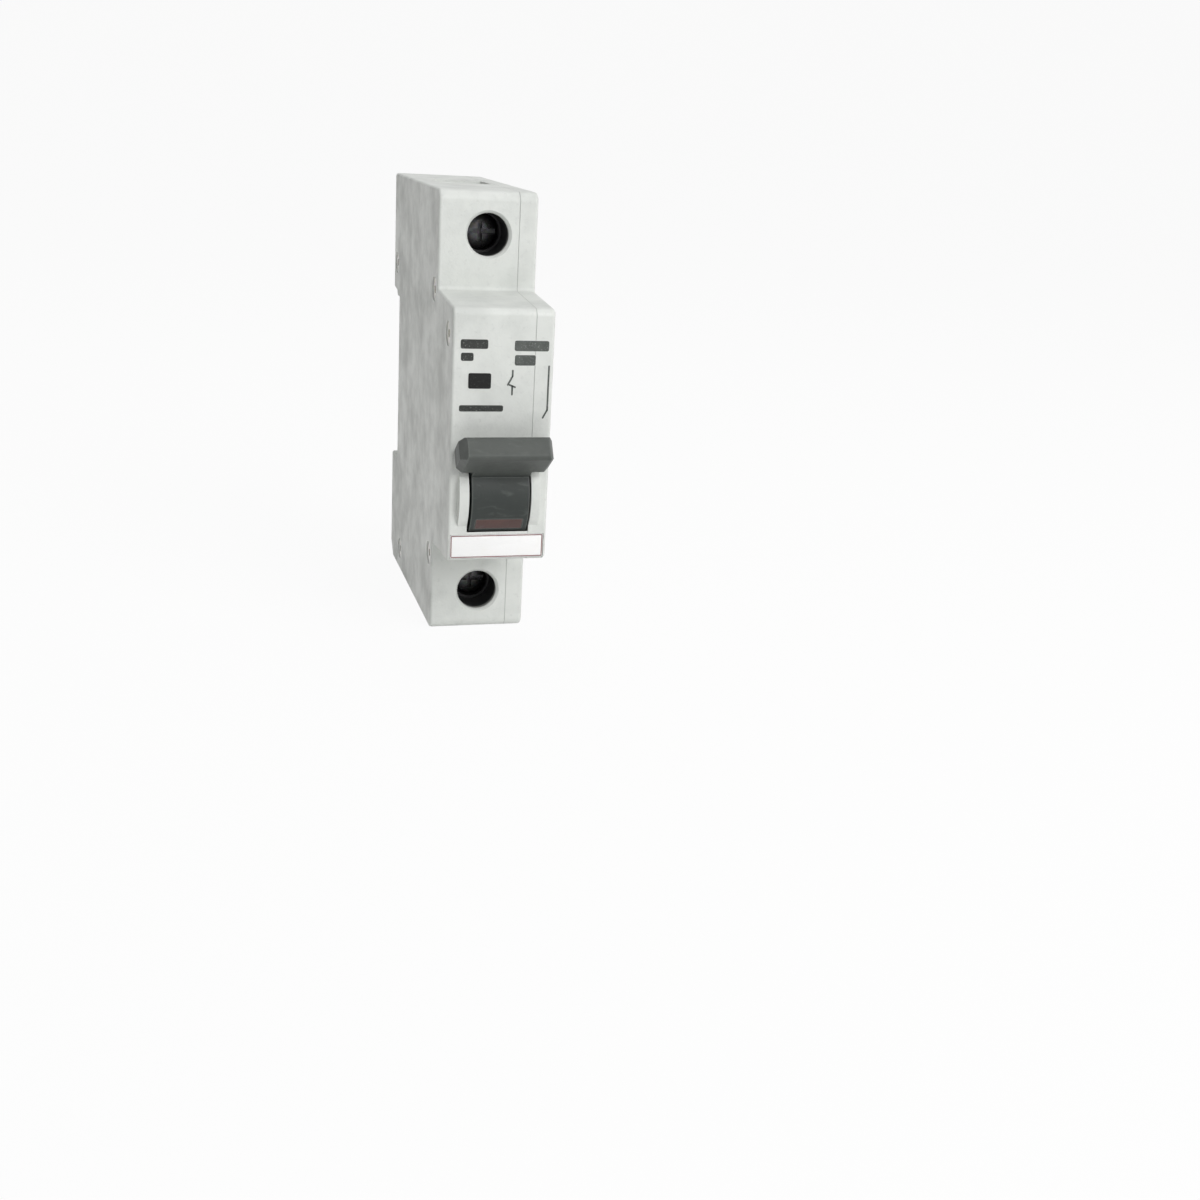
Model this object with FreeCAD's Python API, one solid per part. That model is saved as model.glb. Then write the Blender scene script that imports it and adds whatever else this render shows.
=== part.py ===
import FreeCAD, Part

import math
import os

# Single-pole rail-mounted circuit breaker, one module wide, handle up (ON).
# Frame: origin at the centre of the rail seat, +X right, +Y to the rear, +Z up.
# The front faces -Y, so a depth in front of the rail is a negative y. Millimetres.

Vector = FreeCAD.Vector
AXIS_X = Vector(1, 0, 0)
AXIS_Y = Vector(0, 1, 0)
AXIS_Z = Vector(0, 0, 1)

# ---------------------------------------------------------------- case outline
module_width = 18.0          # one module
body_height = 82.0           # top face to bottom face
shoulder_depth = 45.0        # rail plane to the terminal shoulders
nose_depth = 61.0            # rail plane to the nose front
rear_depth = 7.0             # feet behind the rail plane
nose_height = 45.0           # nose front, fits the cut-out of a cover plate
nose_draft = 1.1             # the nose is this much taller at its root, each side
wall = 1.6
cover_rim = 1.8              # how far the right shell's rim reaches in from its wall
rail_recess_height = 35.5
rail_lip = 1.0               # thickness of the rail's edge
rail_hook_reach = 1.4        # how far the fixed hook reaches behind the rail's edge
rail_hook_thickness = 2.0
rail_hook_gap = 0.3
seat_relief_depth = 0.4      # groove in the rail seat under the hook and the clip
seat_relief_height = 1.8
foot_chamfer = 3.0
shoulder_edge_radius = 1.8
nose_edge_radius = 1.3
end_edge_radius = 0.8
root_radius = 0.7
side_edge_radius = 0.5

# ---------------------------------------------------------------- clearances
loose_gap = 0.3              # between a moving piece and what it passes
seat_gap = 0.1               # between a piece and the pad that holds it
pin_play = 0.05              # radial running clearance on a pin
hole_play = 0.1              # radial clearance round a fixed pin or rivet

# ---------------------------------------------------------------- handle
hub_setback = 7.0            # hub axis behind the nose front
hub_z = -11.0
hub_radius = 9.0
hub_core_radius = 5.0        # the hub's hidden rear part
hub_sector = 76.0            # full radius to this angle each side of the lever
handle_travel = 68.0         # half above straight forward, half below
grip_root = 11.2             # from the hub axis to the bar's inner face
grip_reach = 17.9            # from the hub axis to the bar's front face
grip_rise = 1.1              # bar's middle above the hub axis, lever level
grip_thickness = 4.3
grip_width = 16.6
grip_corner = 0.9
grip_end_taper = 1.1         # the bar's ends are cut back this much at the front
grip_end_length = 2.6        # how far back the end cut runs
grip_end_blunt = 0.4
grip_foot_cut = 1.0          # diagonal cut of the bar's two lower corners, seen from the front
grip_inner_corner = 0.3
neck_thickness = 2.0
mark_depth = 0.5             # colour inlays in the hub
on_mark_angles = (-37.0, -23.0)      # measured from straight forward when ON
off_mark_angles = (86.0, 101.0)
handle_pin_radius = 1.25
handle_boss_radius = 1.9
handle_spring_pocket = 3.2
handle_spring_depth = 2.6
handle_spring_radius = 1.85
handle_spring_wire = 0.25
handle_spring_length = 1.8
handle_spring_turns = 3
hub_mark_inset = 1.0         # the inlays end this far from the hub's side faces
mark_play = 0.05

# ---------------------------------------------------------------- cheeks and label
cheek_radius = 8.6           # ridge beside the hub, concentric with it
cheek_width = 1.7
label_width = 17.0
label_height = 4.3
label_from_edge = 0.5        # label's lower edge above the nose's lower edge
label_thickness = 0.35
label_recess = 0.5
label_gap = 0.1

# ---------------------------------------------------------------- terminals
screw_from_end = 7.6         # screw axis to the top or bottom face
well_radius = 3.8
well_depth = 7.0
head_radius = 3.1
head_height = 2.6
head_pocket_depth = 3.5
well_wall = 1.4
well_floor = 1.5
screw_radius = 2.5           # M5
slot_width = 0.9
slot_depth = 1.2
cross_share = 0.62           # the crossing slot's length, as a share of the head
head_play = 0.1              # screw head above its seat
well_rim = 0.5               # bevel round the well's mouth
cage_travel = 6.0
cage_width = 11.2
cage_height = 9.6
cage_side = 1.2
cage_front = 3.0
cage_window = 9.0
cage_rear = 2.0
plate_thickness = 1.2
plate_gap = 0.6              # plate behind the open cage's front wall
plate_width = 8.2
entry_width = 8.4
entry_depth = 8.2
entry_flare = 0.8
entry_lip = 0.6              # how deep the flare runs into the wall
guide_height = 4.0           # rib that guides the cage
guide_shelf = 0.9
seat_rib = 1.0               # rib in front of the terminal plate
strap_level = 25.1           # height of the line strap's middle
load_strap_level = -26.6
load_strap_thickness = 1.0
load_strap_width = 4.0
line_strap_narrowing = 1.6   # the strap is this much narrower than the plate, each side
plate_below_screw = 4.4
plate_below_cage = 0.4

# ---------------------------------------------------------------- contacts
carrier_y = -38.0
carrier_z = -21.0
carrier_radius = 3.4
carrier_width = 7.2
carrier_pin_radius = 1.25
link_wire_radius = 0.7
link_on_hub = (2.8, -70.0)   # radius and angle of the link's eye on the hub
link_on_carrier = (-4.5, 3.0)        # from the carrier pin
link_foot_play = 0.6         # open pivot: play of the foot in its eye
contact_y = -24.5
fixed_bar_top = -5.0
bar_thickness = 1.2
bar_width = 5.0
tip_radius = 2.0
tip_height = 1.2
contact_gap = 0.06
arm_thickness = 1.6
arm_width = 4.6
arm_tail = 1.8               # arm beyond the contact's centre
arm_crank = 3.0              # the arm's level part before the contact's centre
arm_clearance = 0.6
socket_length = 6.2
socket_thickness = 4.4
link_ear_wall = 1.0
link_web_left = 2.6
link_web_width = 3.4
link_spine_offset = 0.3
link_foot_length = 2.0
fixed_bar_tail = 2.4
fixed_bar_ear = 2.6
contact_spring_radius = 2.95
contact_spring_wire = 0.3
contact_spring_turns = 3
pin_boss_wall = 1.2

# ---------------------------------------------------------------- trip unit
trip_y = -35.5
trip_z = -1.8
trip_pin_radius = 1.0
trip_hub_radius = 2.2
trip_width = 5.0
trip_arm_thickness = 1.4
trip_arm_reach = 1.5         # rear arm beyond the plunger's axis
trip_upper_outline = ((1.0, 0.0), (3.4, 0.0), (3.4, 8.6), (2.0, 8.6), (1.6, 2.4))
trip_latch_outline = ((-1.8, 0.0), (0.6, 0.0), (-1.6, -5.4), (-3.2, -5.4), (-2.8, -3.4))
trip_spring_radius = 2.65
trip_spring_wire = 0.2
trip_spring_turns = 4
coil_y = -22.0
coil_bottom = 6.5
coil_length = 13.0
bobbin_bore = 2.7
bobbin_wall = 0.6
bobbin_flange_radius = 6.2
bobbin_flange = 1.0
winding_wire_radius = 0.75
winding_turns = 6
yoke_thickness = 1.4
yoke_width = 6.4
plunger_radius = 2.6
plunger_length = 6.0
plunger_travel = 1.8
core_length = 4.0
core_play = 0.1
core_bore_play = 0.25
striker_radius = 0.75
striker_gap = 0.1            # striker pin above the trip lever
yoke_hole_play = 0.3
yoke_clear = 0.2             # winding's flanges to the yoke's back
yoke_reach = 0.9             # share of the flange radius that the yoke's arms cover
plunger_gap = 0.3            # pulled-in plunger to the pole
plunger_spring_gap = 0.25
plunger_spring_radius = 1.4
plunger_spring_wire = 0.18
plunger_spring_turns = 2
plunger_spring_slack = 0.3
winding_play = 0.05
winding_margin = 0.15
bimetal_thickness = 0.9
bimetal_width = 5.0
braid_radius = 0.7
bimetal_front = -35.4
bimetal_bottom = 3.5
bimetal_block = 3.0          # clamping block behind the strip
calibration_drop = 7.8       # calibration screw below the line strap
bimetal_block_height = 4.6
bimetal_gap = 1.25           # strip's upper end below the strap
bracket_thickness = 1.2
bracket_reach = 3.2          # bracket's leg in front of the strip
bracket_leg = 1.4
bracket_foot = 2.2           # leg below the set screw's axis
set_screw_radius = 1.4
set_screw_length = 5.0
set_screw_gap = 0.15
set_screw_head_radius = 2.2
set_screw_head = 1.2
set_screw_slot = 0.6
braid_on_strip = 3.4         # where the lead leaves the strip, above its lower end
braid_on_arm = 8.6           # where it meets the arm, behind the carrier pin

# ---------------------------------------------------------------- arc chute
splitter_count = 8
splitter_pitch = 1.8
splitter_thickness = 0.8
splitter_front = -17.0
splitter_rear = -5.0
splitter_notch = 4.0
first_splitter_z = -11.2
runner_thickness = 0.8
upper_runner_z = -9.4
lower_runner_z = -25.4
runner_width = 8.0
chute_side_thickness = 1.0
baffle_thickness = 0.8
baffle_slots = 5
baffle_slot_height = 1.2
baffle_edge = 1.6
baffle_gap = 0.45
chute_lap = 0.4              # side plates beyond the splitter plates
chute_gap = 0.1
splitter_mouth = 4.8         # width of the notch at the plate's front
splitter_notch_end = 1.0
inner_gap = 0.2              # between a loose inner piece and the side wall
pad_root = 0.2               # pads start this deep in the wall

# ---------------------------------------------------------------- rail clip
clip_width = 9.8
clip_thickness = 3.4
clip_channel_front = 1.2     # front of the clip's channel, behind the rail plane
clip_nose = 1.45             # nose above the recess's lower edge
clip_travel = 4.0
clip_window_width = 4.6
clip_stop_height = 1.8
clip_spring_pressed = 6.2    # spring's length with the clip pulled right down
clip_foot = 2.6              # clip below its window
clip_lead_in = 1.6           # slope on the clip's nose
clip_nose_step = 0.2
clip_pull_slot = (5.2, 1.2, 1.1)     # width, height and inset of the slot for a screwdriver
clip_spring_radius = 1.3
clip_spring_wire = 0.25
clip_spring_turns = 8
clip_spring_slack = 0.3

# ---------------------------------------------------------------- rivets
rivet_radius = 1.25
rivet_head_radius = 2.1
rivet_head_height = 0.6
rivet_recess = 0.8
rivet_boss_radius = 2.4

# ---------------------------------------------------------------- derived places
lever_angle = handle_travel / 2
half_width = module_width / 2
half_height = body_height / 2
half_recess = rail_recess_height / 2
half_nose = nose_height / 2
half_nose_root = half_nose + nose_draft
inner_x = half_width - wall
seam_x = inner_x - cover_rim
hub_y = -nose_depth + hub_setback
hub_half_width = seam_x - 0.4
screw_z = half_height - screw_from_end
well_floor_rear = -shoulder_depth + well_depth + head_pocket_depth + well_floor
head_seat = well_floor_rear - well_floor
cage_front_y = well_floor_rear + cage_travel + loose_gap
cage_window_y = cage_front_y + cage_front
plate_front_y = cage_window_y + plate_gap
plate_rear_y = plate_front_y + plate_thickness
cage_rear_y = cage_window_y + cage_window + cage_rear
strap_underside = strap_level - plate_thickness / 2
bimetal_rear = bimetal_front + bimetal_thickness
coil_top = coil_bottom + coil_length
clip_spring_length = clip_spring_pressed + clip_travel
moving_tip_top = fixed_bar_top - bar_thickness - tip_height - contact_gap
rivet_places = (
    (-shoulder_depth + 3.4, half_nose_root - 0.4),
    (-shoulder_depth + 3.4, -half_nose_root - 3.0),
    (3.4, half_recess + 5.4),
    (-5.6, -half_height + 4.6),
    (-nose_depth + 4.6, half_nose - 5.0),
)


# ---------------------------------------------------------------- shape helpers
def box(x0, x1, y0, y1, z0, z1):
    return Part.makeBox(x1 - x0, y1 - y0, z1 - z0, Vector(x0, y0, z0))


def rod_x(radius, x0, x1, y, z):
    return Part.makeCylinder(radius, x1 - x0, Vector(x0, y, z), AXIS_X)


def rod_y(radius, y0, y1, z, x=0.0):
    return Part.makeCylinder(radius, y1 - y0, Vector(x, y0, z), AXIS_Y)


def rod_z(radius, z0, z1, y, x=0.0):
    return Part.makeCylinder(radius, z1 - z0, Vector(x, y, z0), AXIS_Z)


def slab(outline, x0, x1):
    """Closed (y, z) outline with straight sides, drawn out along X."""
    corners = [Vector(x0, y, z) for y, z in outline]
    face = Part.Face(Part.makePolygon(corners + corners[:1]))
    return face.extrude(Vector(x1 - x0, 0, 0))


def rounded_slab(outline, x0, x1):
    """Closed outline of (y, z, corner radius), drawn out along X."""
    starts, ends, arcs = [], [], []
    count = len(outline)
    for index, (y, z, radius) in enumerate(outline):
        corner = Vector(x0, y, z)
        before = Vector(x0, *outline[index - 1][:2]) - corner
        after = Vector(x0, *outline[(index + 1) % count][:2]) - corner
        before.normalize()
        after.normalize()
        if radius == 0:
            starts.append(corner)
            ends.append(corner)
            arcs.append(None)
            continue
        half_turn = before.getAngle(after) / 2
        setback = radius / math.tan(half_turn)
        middle = before + after
        middle.normalize()
        apex = corner + middle * (radius / math.sin(half_turn) - radius)
        starts.append(corner + before * setback)
        ends.append(corner + after * setback)
        arcs.append(Part.Arc(starts[-1], apex, ends[-1]).toShape())
    edges = []
    for index in range(count):
        if arcs[index] is not None:
            edges.append(arcs[index])
        following = starts[(index + 1) % count]
        if (following - ends[index]).Length > 1e-6:
            edges.append(Part.makeLine(ends[index], following))
    return Part.Face(Part.Wire(edges)).extrude(Vector(x1 - x0, 0, 0))


def strip(path, thickness, x0, x1):
    """Flat bar of even thickness whose middle line follows (y, z) points."""
    left, right = [], []
    for index, (y, z) in enumerate(path):
        here = Vector(0, y, z)
        sides = []
        if index > 0:
            sides.append(here - Vector(0, *path[index - 1]))
        if index < len(path) - 1:
            sides.append(Vector(0, *path[index + 1]) - here)
        normals = []
        for side in sides:
            side.normalize()
            normals.append(Vector(0, -side.z, side.y))
        middle = normals[0] + normals[-1]
        middle.normalize()
        offset = middle * (thickness / 2 / middle.dot(normals[0]))
        left.append(((here + offset).y, (here + offset).z))
        right.append(((here - offset).y, (here - offset).z))
    return slab(left + right[::-1], x0, x1)


def from_hub(radius, angle):
    """A (y, z) point at a radius and an angle above straight forward."""
    a = math.radians(angle)
    return (hub_y - radius * math.cos(a), hub_z + radius * math.sin(a))


def wedge(radius, low, high, x0, x1):
    """Sector of a disc about the hub axis, between two angles above forward."""
    middle = (low + high) / 2
    arc = Part.Arc(Vector(x0, *from_hub(radius, low)),
                   Vector(x0, *from_hub(radius, middle)),
                   Vector(x0, *from_hub(radius, high))).toShape()
    centre = Vector(x0, hub_y, hub_z)
    edges = [arc, Part.makeLine(Vector(x0, *from_hub(radius, high)), centre),
             Part.makeLine(centre, Vector(x0, *from_hub(radius, low)))]
    return Part.Face(Part.Wire(edges)).extrude(Vector(x1 - x0, 0, 0))


def spring_along(axis, start, mean_radius, wire_radius, length, turns):
    """Open coil spring from a start point, along +X or +Z."""
    pitch = length / turns
    helix = Part.makeHelix(pitch, length, mean_radius)
    profile = Part.Wire([Part.makeCircle(wire_radius, Vector(mean_radius, 0, 0), AXIS_Y)])
    coil = Part.Wire(helix.Edges).makePipeShell([profile], True, True)
    if axis is AXIS_X:
        coil.rotate(Vector(0, 0, 0), AXIS_Y, 90)
    coil.translate(start)
    return coil


def round_cord(points, radius):
    """Round flexible lead along straight runs joined by tangent arcs."""
    corners = [Vector(*point) for point in points]
    edges = []
    here = corners[0]
    for before, corner, after in zip(corners, corners[1:], corners[2:]):
        back = before - corner
        ahead = after - corner
        setback = 0.45 * min(back.Length, ahead.Length)
        back.normalize()
        ahead.normalize()
        half_turn = back.getAngle(ahead) / 2
        bend = setback * math.tan(half_turn)
        middle = back + ahead
        middle.normalize()
        apex = corner + middle * (bend / math.sin(half_turn) - bend)
        edges.append(Part.makeLine(here, corner + back * setback))
        edges.append(Part.Arc(corner + back * setback, apex, corner + ahead * setback).toShape())
        here = corner + ahead * setback
        print("lead bend radius %.2f mm" % bend)
    edges.append(Part.makeLine(here, corners[-1]))
    direction = corners[1] - corners[0]
    profile = Part.Wire([Part.makeCircle(radius, corners[0], direction)])
    return Part.Wire(edges).makePipeShell([profile], True, True)


def mirrored_z(shape):
    """The same shape at the other end of the case."""
    return shape.mirror(Vector(0, 0, 0), AXIS_Z)


# ---------------------------------------------------------------- case
def case_outline():
    hook_y = rail_lip + rail_hook_gap
    return [
        (rear_depth, half_height, end_edge_radius),
        (-shoulder_depth, half_height, shoulder_edge_radius),
        (-shoulder_depth, half_nose_root, root_radius),
        (-nose_depth, half_nose, nose_edge_radius),
        (-nose_depth, -half_nose, nose_edge_radius),
        (-shoulder_depth, -half_nose_root, root_radius),
        (-shoulder_depth, -half_height, shoulder_edge_radius),
        (rear_depth - foot_chamfer, -half_height, 0),
        (rear_depth, -half_height + foot_chamfer, 0),
        (rear_depth, -half_recess, 0),
        (0, -half_recess, 0),
        (0, half_recess, 0),
        (hook_y, half_recess, 0),
        (hook_y, half_recess - rail_hook_reach, 0),
        (hook_y + rail_hook_thickness * 0.6, half_recess - rail_hook_reach, 0),
        (hook_y + rail_hook_thickness, half_recess - rail_hook_reach / 3, 0),
        (rear_depth, half_recess, 0),
    ]


def seat_reliefs():
    """Grooves across the rail seat, under the hook and under the clip's nose."""
    upper = box(-half_width - 1, half_width + 1, -seat_relief_depth, rail_hook_gap,
                half_recess - seat_relief_height, half_recess)
    return [upper, mirrored_z(upper)]


def cavity_outline():
    top = half_height - wall
    return [
        (rear_depth - wall, top),
        (-shoulder_depth + wall, top),
        (-shoulder_depth + wall, half_nose_root - wall),
        (-nose_depth + wall, half_nose - wall),
        (-nose_depth + wall, -half_nose + wall),
        (-shoulder_depth + wall, -half_nose_root + wall),
        (-shoulder_depth + wall, -top),
        (-wall, -top),
        (-wall, half_recess + wall),
        (rear_depth - wall, half_recess + wall),
    ]


def side_face_softened(solid, x):
    """Round the edges round one outer side face."""
    edges = []
    for edge in solid.Edges:
        limits = edge.BoundBox
        if abs(limits.XMin - x) < 1e-4 and abs(limits.XMax - x) < 1e-4:
            edges.append(edge)
    return solid.makeFillet(side_edge_radius, edges)


def cheek(x0, x1):
    """Ridge beside the hub that stands out from the nose front."""
    disc = rod_x(cheek_radius, x0, x1, hub_y, hub_z)
    return disc.common(box(x0, x1, -nose_depth - hub_radius, -nose_depth + wall,
                           -half_nose, half_nose))


def hub_opening(x0, x1):
    return rod_x(hub_radius + loose_gap, x0, x1, hub_y, hub_z)


def label_pocket(x0, x1):
    low = -half_nose + label_from_edge
    return box(max(x0, -label_width / 2 - label_gap), min(x1, label_width / 2 + label_gap),
               -nose_depth - 1, -nose_depth + label_recess,
               low - label_gap, low + label_height + label_gap)


def rivet_hole(y, z, x0, x1):
    return rod_x(rivet_radius + hole_play, x0, x1, y, z)


def terminal_well():
    """Solid round the screw's well, with its floor."""
    return rod_y(well_radius + well_wall, -shoulder_depth + wall / 2, well_floor_rear, screw_z)


def terminal_well_bore():
    mouth = rod_y(well_radius, -shoulder_depth - 1, -shoulder_depth + well_depth, screw_z)
    pocket = rod_y(head_radius + loose_gap, -shoulder_depth + well_depth, head_seat, screw_z)
    shank = rod_y(screw_radius + loose_gap, head_seat, well_floor_rear + 1, screw_z)
    rim = Part.makeCone(well_radius + well_rim, well_radius, well_rim,
                        Vector(0, -shoulder_depth, screw_z), AXIS_Y)
    return mouth.fuse([pocket, shank, rim])


def wire_entry():
    """Opening for the wire in an end face, flared outwards."""
    y0 = plate_rear_y + 0.3
    y1 = y0 + entry_depth
    hole = box(-entry_width / 2, entry_width / 2, y0, y1, half_height - wall - 1, half_height + 1)
    lip = box(-entry_width / 2 - entry_flare, entry_width / 2 + entry_flare,
              y0 - entry_flare, y1 + entry_flare, half_height - entry_lip, half_height + 1)
    return hole.fuse(lip)


def cage_guides():
    """Ribs on the left wall that guide one clamp cage."""
    side = cage_width / 2 + loose_gap
    low = screw_z - cage_height / 2
    y0 = cage_front_y - cage_travel
    pad = box(-inner_x - pad_root, -side, y0, cage_rear_y,
              screw_z - guide_height / 2, screw_z + guide_height / 2)
    shelf = box(-inner_x - pad_root, seam_x, plate_rear_y + 4.0, -wall / 2,
                low - loose_gap - guide_shelf, low - loose_gap)
    return [pad, shelf]


def plate_seats():
    """Slotted ribs that hold one terminal plate's edge."""
    z0 = screw_z + cage_height / 2 + 0.2
    front = box(-inner_x - pad_root, 0, plate_front_y - seat_rib, plate_front_y - seat_gap,
                z0, half_height - wall / 2)
    return [front]


def clip_channel():
    half = clip_width / 2 + loose_gap
    y0 = clip_channel_front
    y1 = y0 + clip_thickness + 2 * loose_gap
    return box(-half, half, y0, y1, -half_height - 1, -half_recess + 0.01)


def clip_stop():
    """Block of the left shell that stands in the clip's window."""
    half = clip_window_width / 2 - loose_gap
    low = clip_window_low() + loose_gap
    y1 = clip_channel_front + clip_thickness + 2 * loose_gap + 0.3
    return box(-half, half, clip_channel_front - 0.5, y1, low, low + clip_stop_height)


def clip_window_low():
    return -half_height + clip_foot


def inner_pads():
    """Pads and ribs on the left wall that carry the working parts."""
    x0 = -inner_x - pad_root
    yoke_rear = coil_y + bobbin_flange_radius + yoke_clear + yoke_thickness
    pads = [
        box(x0, -yoke_width / 2 - seat_gap, yoke_rear - yoke_thickness, yoke_rear,
            coil_bottom + 3, coil_top - 3),
        box(x0, -yoke_width / 2 - seat_gap, coil_y - 3, coil_y + 3,
            coil_top + 0.2, coil_top + yoke_thickness),
        box(x0, -bar_width / 2 - seat_gap, contact_y - 2.0, contact_y + 2.0,
            fixed_bar_top - bar_thickness, fixed_bar_top),
        box(x0, -bimetal_width / 2 - seat_gap, bimetal_rear, bimetal_rear + bimetal_block,
            strap_underside - bimetal_block_height + seat_gap * 2, strap_underside - seat_gap * 4),
        box(x0, -load_strap_width / 2 - seat_gap, -wall - 2.0, -wall / 2, 0, 4),
        box(x0, -load_strap_width / 2 - seat_gap, -wall - 7.0, -wall - 4.0,
            load_strap_level - 0.5, load_strap_level + 0.5),
    ]
    return pads


def housing_base():
    """Left shell: the deep one, with the terminal wells and the working parts' seats."""
    shell = rounded_slab(case_outline(), -half_width, seam_x)
    shell = side_face_softened(shell, -half_width)
    shell = shell.cut(slab(cavity_outline(), -inner_x, seam_x + 1))
    added = [cheek(-seam_x - cheek_width, -seam_x)]
    added += inner_pads()
    for piece in [terminal_well()] + cage_guides() + plate_seats():
        added += [piece, mirrored_z(piece)]
    for y, z in rivet_places:
        added.append(rod_x(rivet_boss_radius, -inner_x - pad_root, seam_x, y, z))
    added.append(rod_x(handle_boss_radius, -inner_x - pad_root, -hub_half_width - loose_gap,
                       hub_y, hub_z))
    added.append(rod_x(carrier_pin_radius + pin_boss_wall, -inner_x - pad_root,
                       -carrier_width / 2 - loose_gap, carrier_y, carrier_z))
    added.append(rod_x(trip_pin_radius + pin_boss_wall, -inner_x - pad_root, -trip_width / 2 - loose_gap,
                       trip_y, trip_z))
    outside = rounded_slab(case_outline(), -half_width, seam_x)
    inside = [piece.common(outside) for piece in added[1:]]
    shell = shell.fuse([added[0]] + inside)
    cuts = [hub_opening(-seam_x, seam_x + 1), label_pocket(-half_width, seam_x),
            terminal_well_bore(), mirrored_z(terminal_well_bore()),
            wire_entry(), mirrored_z(wire_entry()), clip_channel()]
    cuts += seat_reliefs()
    for y, z in rivet_places:
        cuts.append(rivet_hole(y, z, -half_width - 1, seam_x + 1))
        cuts.append(rod_x(rivet_head_radius + hole_play, -half_width - 1,
                          -half_width + rivet_recess, y, z))
    for radius, y, z in pin_places():
        cuts.append(rod_x(radius + hole_play / 2, -half_width + wall / 2, -1, y, z))
    return shell.cut(cuts).fuse(clip_stop()).removeSplitter()


def housing_cover():
    """Right shell: the shallow one, which closes the case."""
    shell = rounded_slab(case_outline(), seam_x, half_width)
    shell = side_face_softened(shell, half_width)
    shell = shell.cut(slab(cavity_outline(), seam_x - 1, inner_x))
    outside = rounded_slab(case_outline(), seam_x, half_width)
    added = [cheek(seam_x, seam_x + cheek_width)]
    inner = []
    for y, z in rivet_places:
        inner.append(rod_x(rivet_boss_radius, seam_x, inner_x + pad_root, y, z))
    inner.append(rod_x(handle_boss_radius, seam_x, inner_x + pad_root, hub_y, hub_z))
    inner.append(rod_x(carrier_pin_radius + pin_boss_wall, seam_x, inner_x + pad_root,
                       carrier_y, carrier_z))
    inner.append(rod_x(trip_pin_radius + pin_boss_wall, seam_x, inner_x + pad_root, trip_y, trip_z))
    shell = shell.fuse(added + [piece.common(outside) for piece in inner])
    cuts = [label_pocket(seam_x, half_width)] + seat_reliefs()
    for y, z in rivet_places:
        cuts.append(rivet_hole(y, z, seam_x - 1, half_width + 1))
        cuts.append(rod_x(rivet_head_radius + hole_play, half_width - rivet_recess,
                          half_width + 1, y, z))
    for radius, y, z in pin_places():
        cuts.append(rod_x(radius + hole_play / 2, seam_x - 1, half_width - wall / 2, y, z))
    return shell.cut(cuts).removeSplitter()


def pin_places():
    """Radius and (y, z) of each pin that lies across the case."""
    return ((handle_pin_radius, hub_y, hub_z),
            (carrier_pin_radius, carrier_y, carrier_z),
            (trip_pin_radius, trip_y, trip_z))


def cross_pin(radius, y, z):
    end = half_width - wall / 2 - seat_gap
    return rod_x(radius, -end, end, y, z)


def housing_rivets():
    rivets = []
    seat = half_width - rivet_recess
    for y, z in rivet_places:
        shank = rod_x(rivet_radius, -seat, seat, y, z)
        left = rod_x(rivet_head_radius, -seat - rivet_head_height, -seat, y, z)
        right = rod_x(rivet_head_radius, seat, seat + rivet_head_height, y, z)
        dimple = rod_x(rivet_radius * 0.6, -seat - rivet_head_height - 1,
                       -seat - rivet_head_height / 2, y, z)
        rivets.append(shank.fuse([left, right]).cut(dimple).removeSplitter())
    return Part.makeCompound(rivets)


# ---------------------------------------------------------------- handle group
def grip_bar():
    """Full-width bar at the lever's end, drawn with the lever straight forward."""
    y0, y1 = hub_y - grip_reach, hub_y - grip_root
    half = grip_thickness / 2
    middle = hub_z + grip_rise
    bar = rounded_slab([(y0, middle - half, grip_corner), (y0, middle + half, grip_corner),
                        (y1, middle + half, grip_inner_corner),
                        (y1, middle - half, grip_inner_corner)],
                       -grip_width / 2, grip_width / 2)
    for side in (-1, 1):
        end = side * grip_width / 2
        inset = side * (grip_width / 2 - grip_end_taper)
        low = middle - grip_thickness
        corners = [Vector(end, y0 + grip_end_length, low), Vector(end, y0 - 1, low),
                   Vector(inset - side * grip_end_blunt, y0 - 1, low), Vector(inset, y0, low)]
        end_cut = Part.Face(Part.makePolygon(corners + corners[:1]))
        foot = [Vector(end + side, y0 - 1, middle - half + grip_foot_cut + 1),
                Vector(end - side * grip_foot_cut - side, y0 - 1, middle - half - 1),
                Vector(end + side, y0 - 1, middle - half - 1)]
        foot_cut = Part.Face(Part.makePolygon(foot + foot[:1]))
        bar = bar.cut([end_cut.extrude(Vector(0, 0, 2 * grip_thickness)),
                       foot_cut.extrude(Vector(0, grip_reach - grip_root + 2, 0))])
    neck = box(-hub_half_width, hub_half_width, y1 - 1, hub_y - hub_core_radius,
               hub_z - neck_thickness / 2, hub_z + neck_thickness / 2)
    return bar.fuse(neck)


def handle():
    lever = grip_bar()
    lever.rotate(Vector(0, hub_y, hub_z), AXIS_X, -lever_angle)
    body = wedge(hub_radius, lever_angle - hub_sector, lever_angle + hub_sector,
                 -hub_half_width, hub_half_width)
    core = rod_x(hub_core_radius, -hub_half_width, hub_half_width, hub_y, hub_z)
    body = body.fuse([core, lever])
    eye = from_hub(link_on_hub[0], 180.0 - link_on_hub[1])
    cuts = [
        rod_x(handle_pin_radius + pin_play, -hub_half_width - 1, hub_half_width + 1, hub_y, hub_z),
        rod_x(handle_spring_pocket, -hub_half_width - 1, -hub_half_width + handle_spring_depth,
              hub_y, hub_z),
        rod_x(link_wire_radius + pin_play, -0.4, hub_half_width + 1, *eye),
        hub_mark(on_mark_angles, mark_depth + mark_play, mark_play),
        hub_mark(off_mark_angles, mark_depth + mark_play, mark_play),
    ]
    return body.cut(cuts).removeSplitter()


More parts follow.
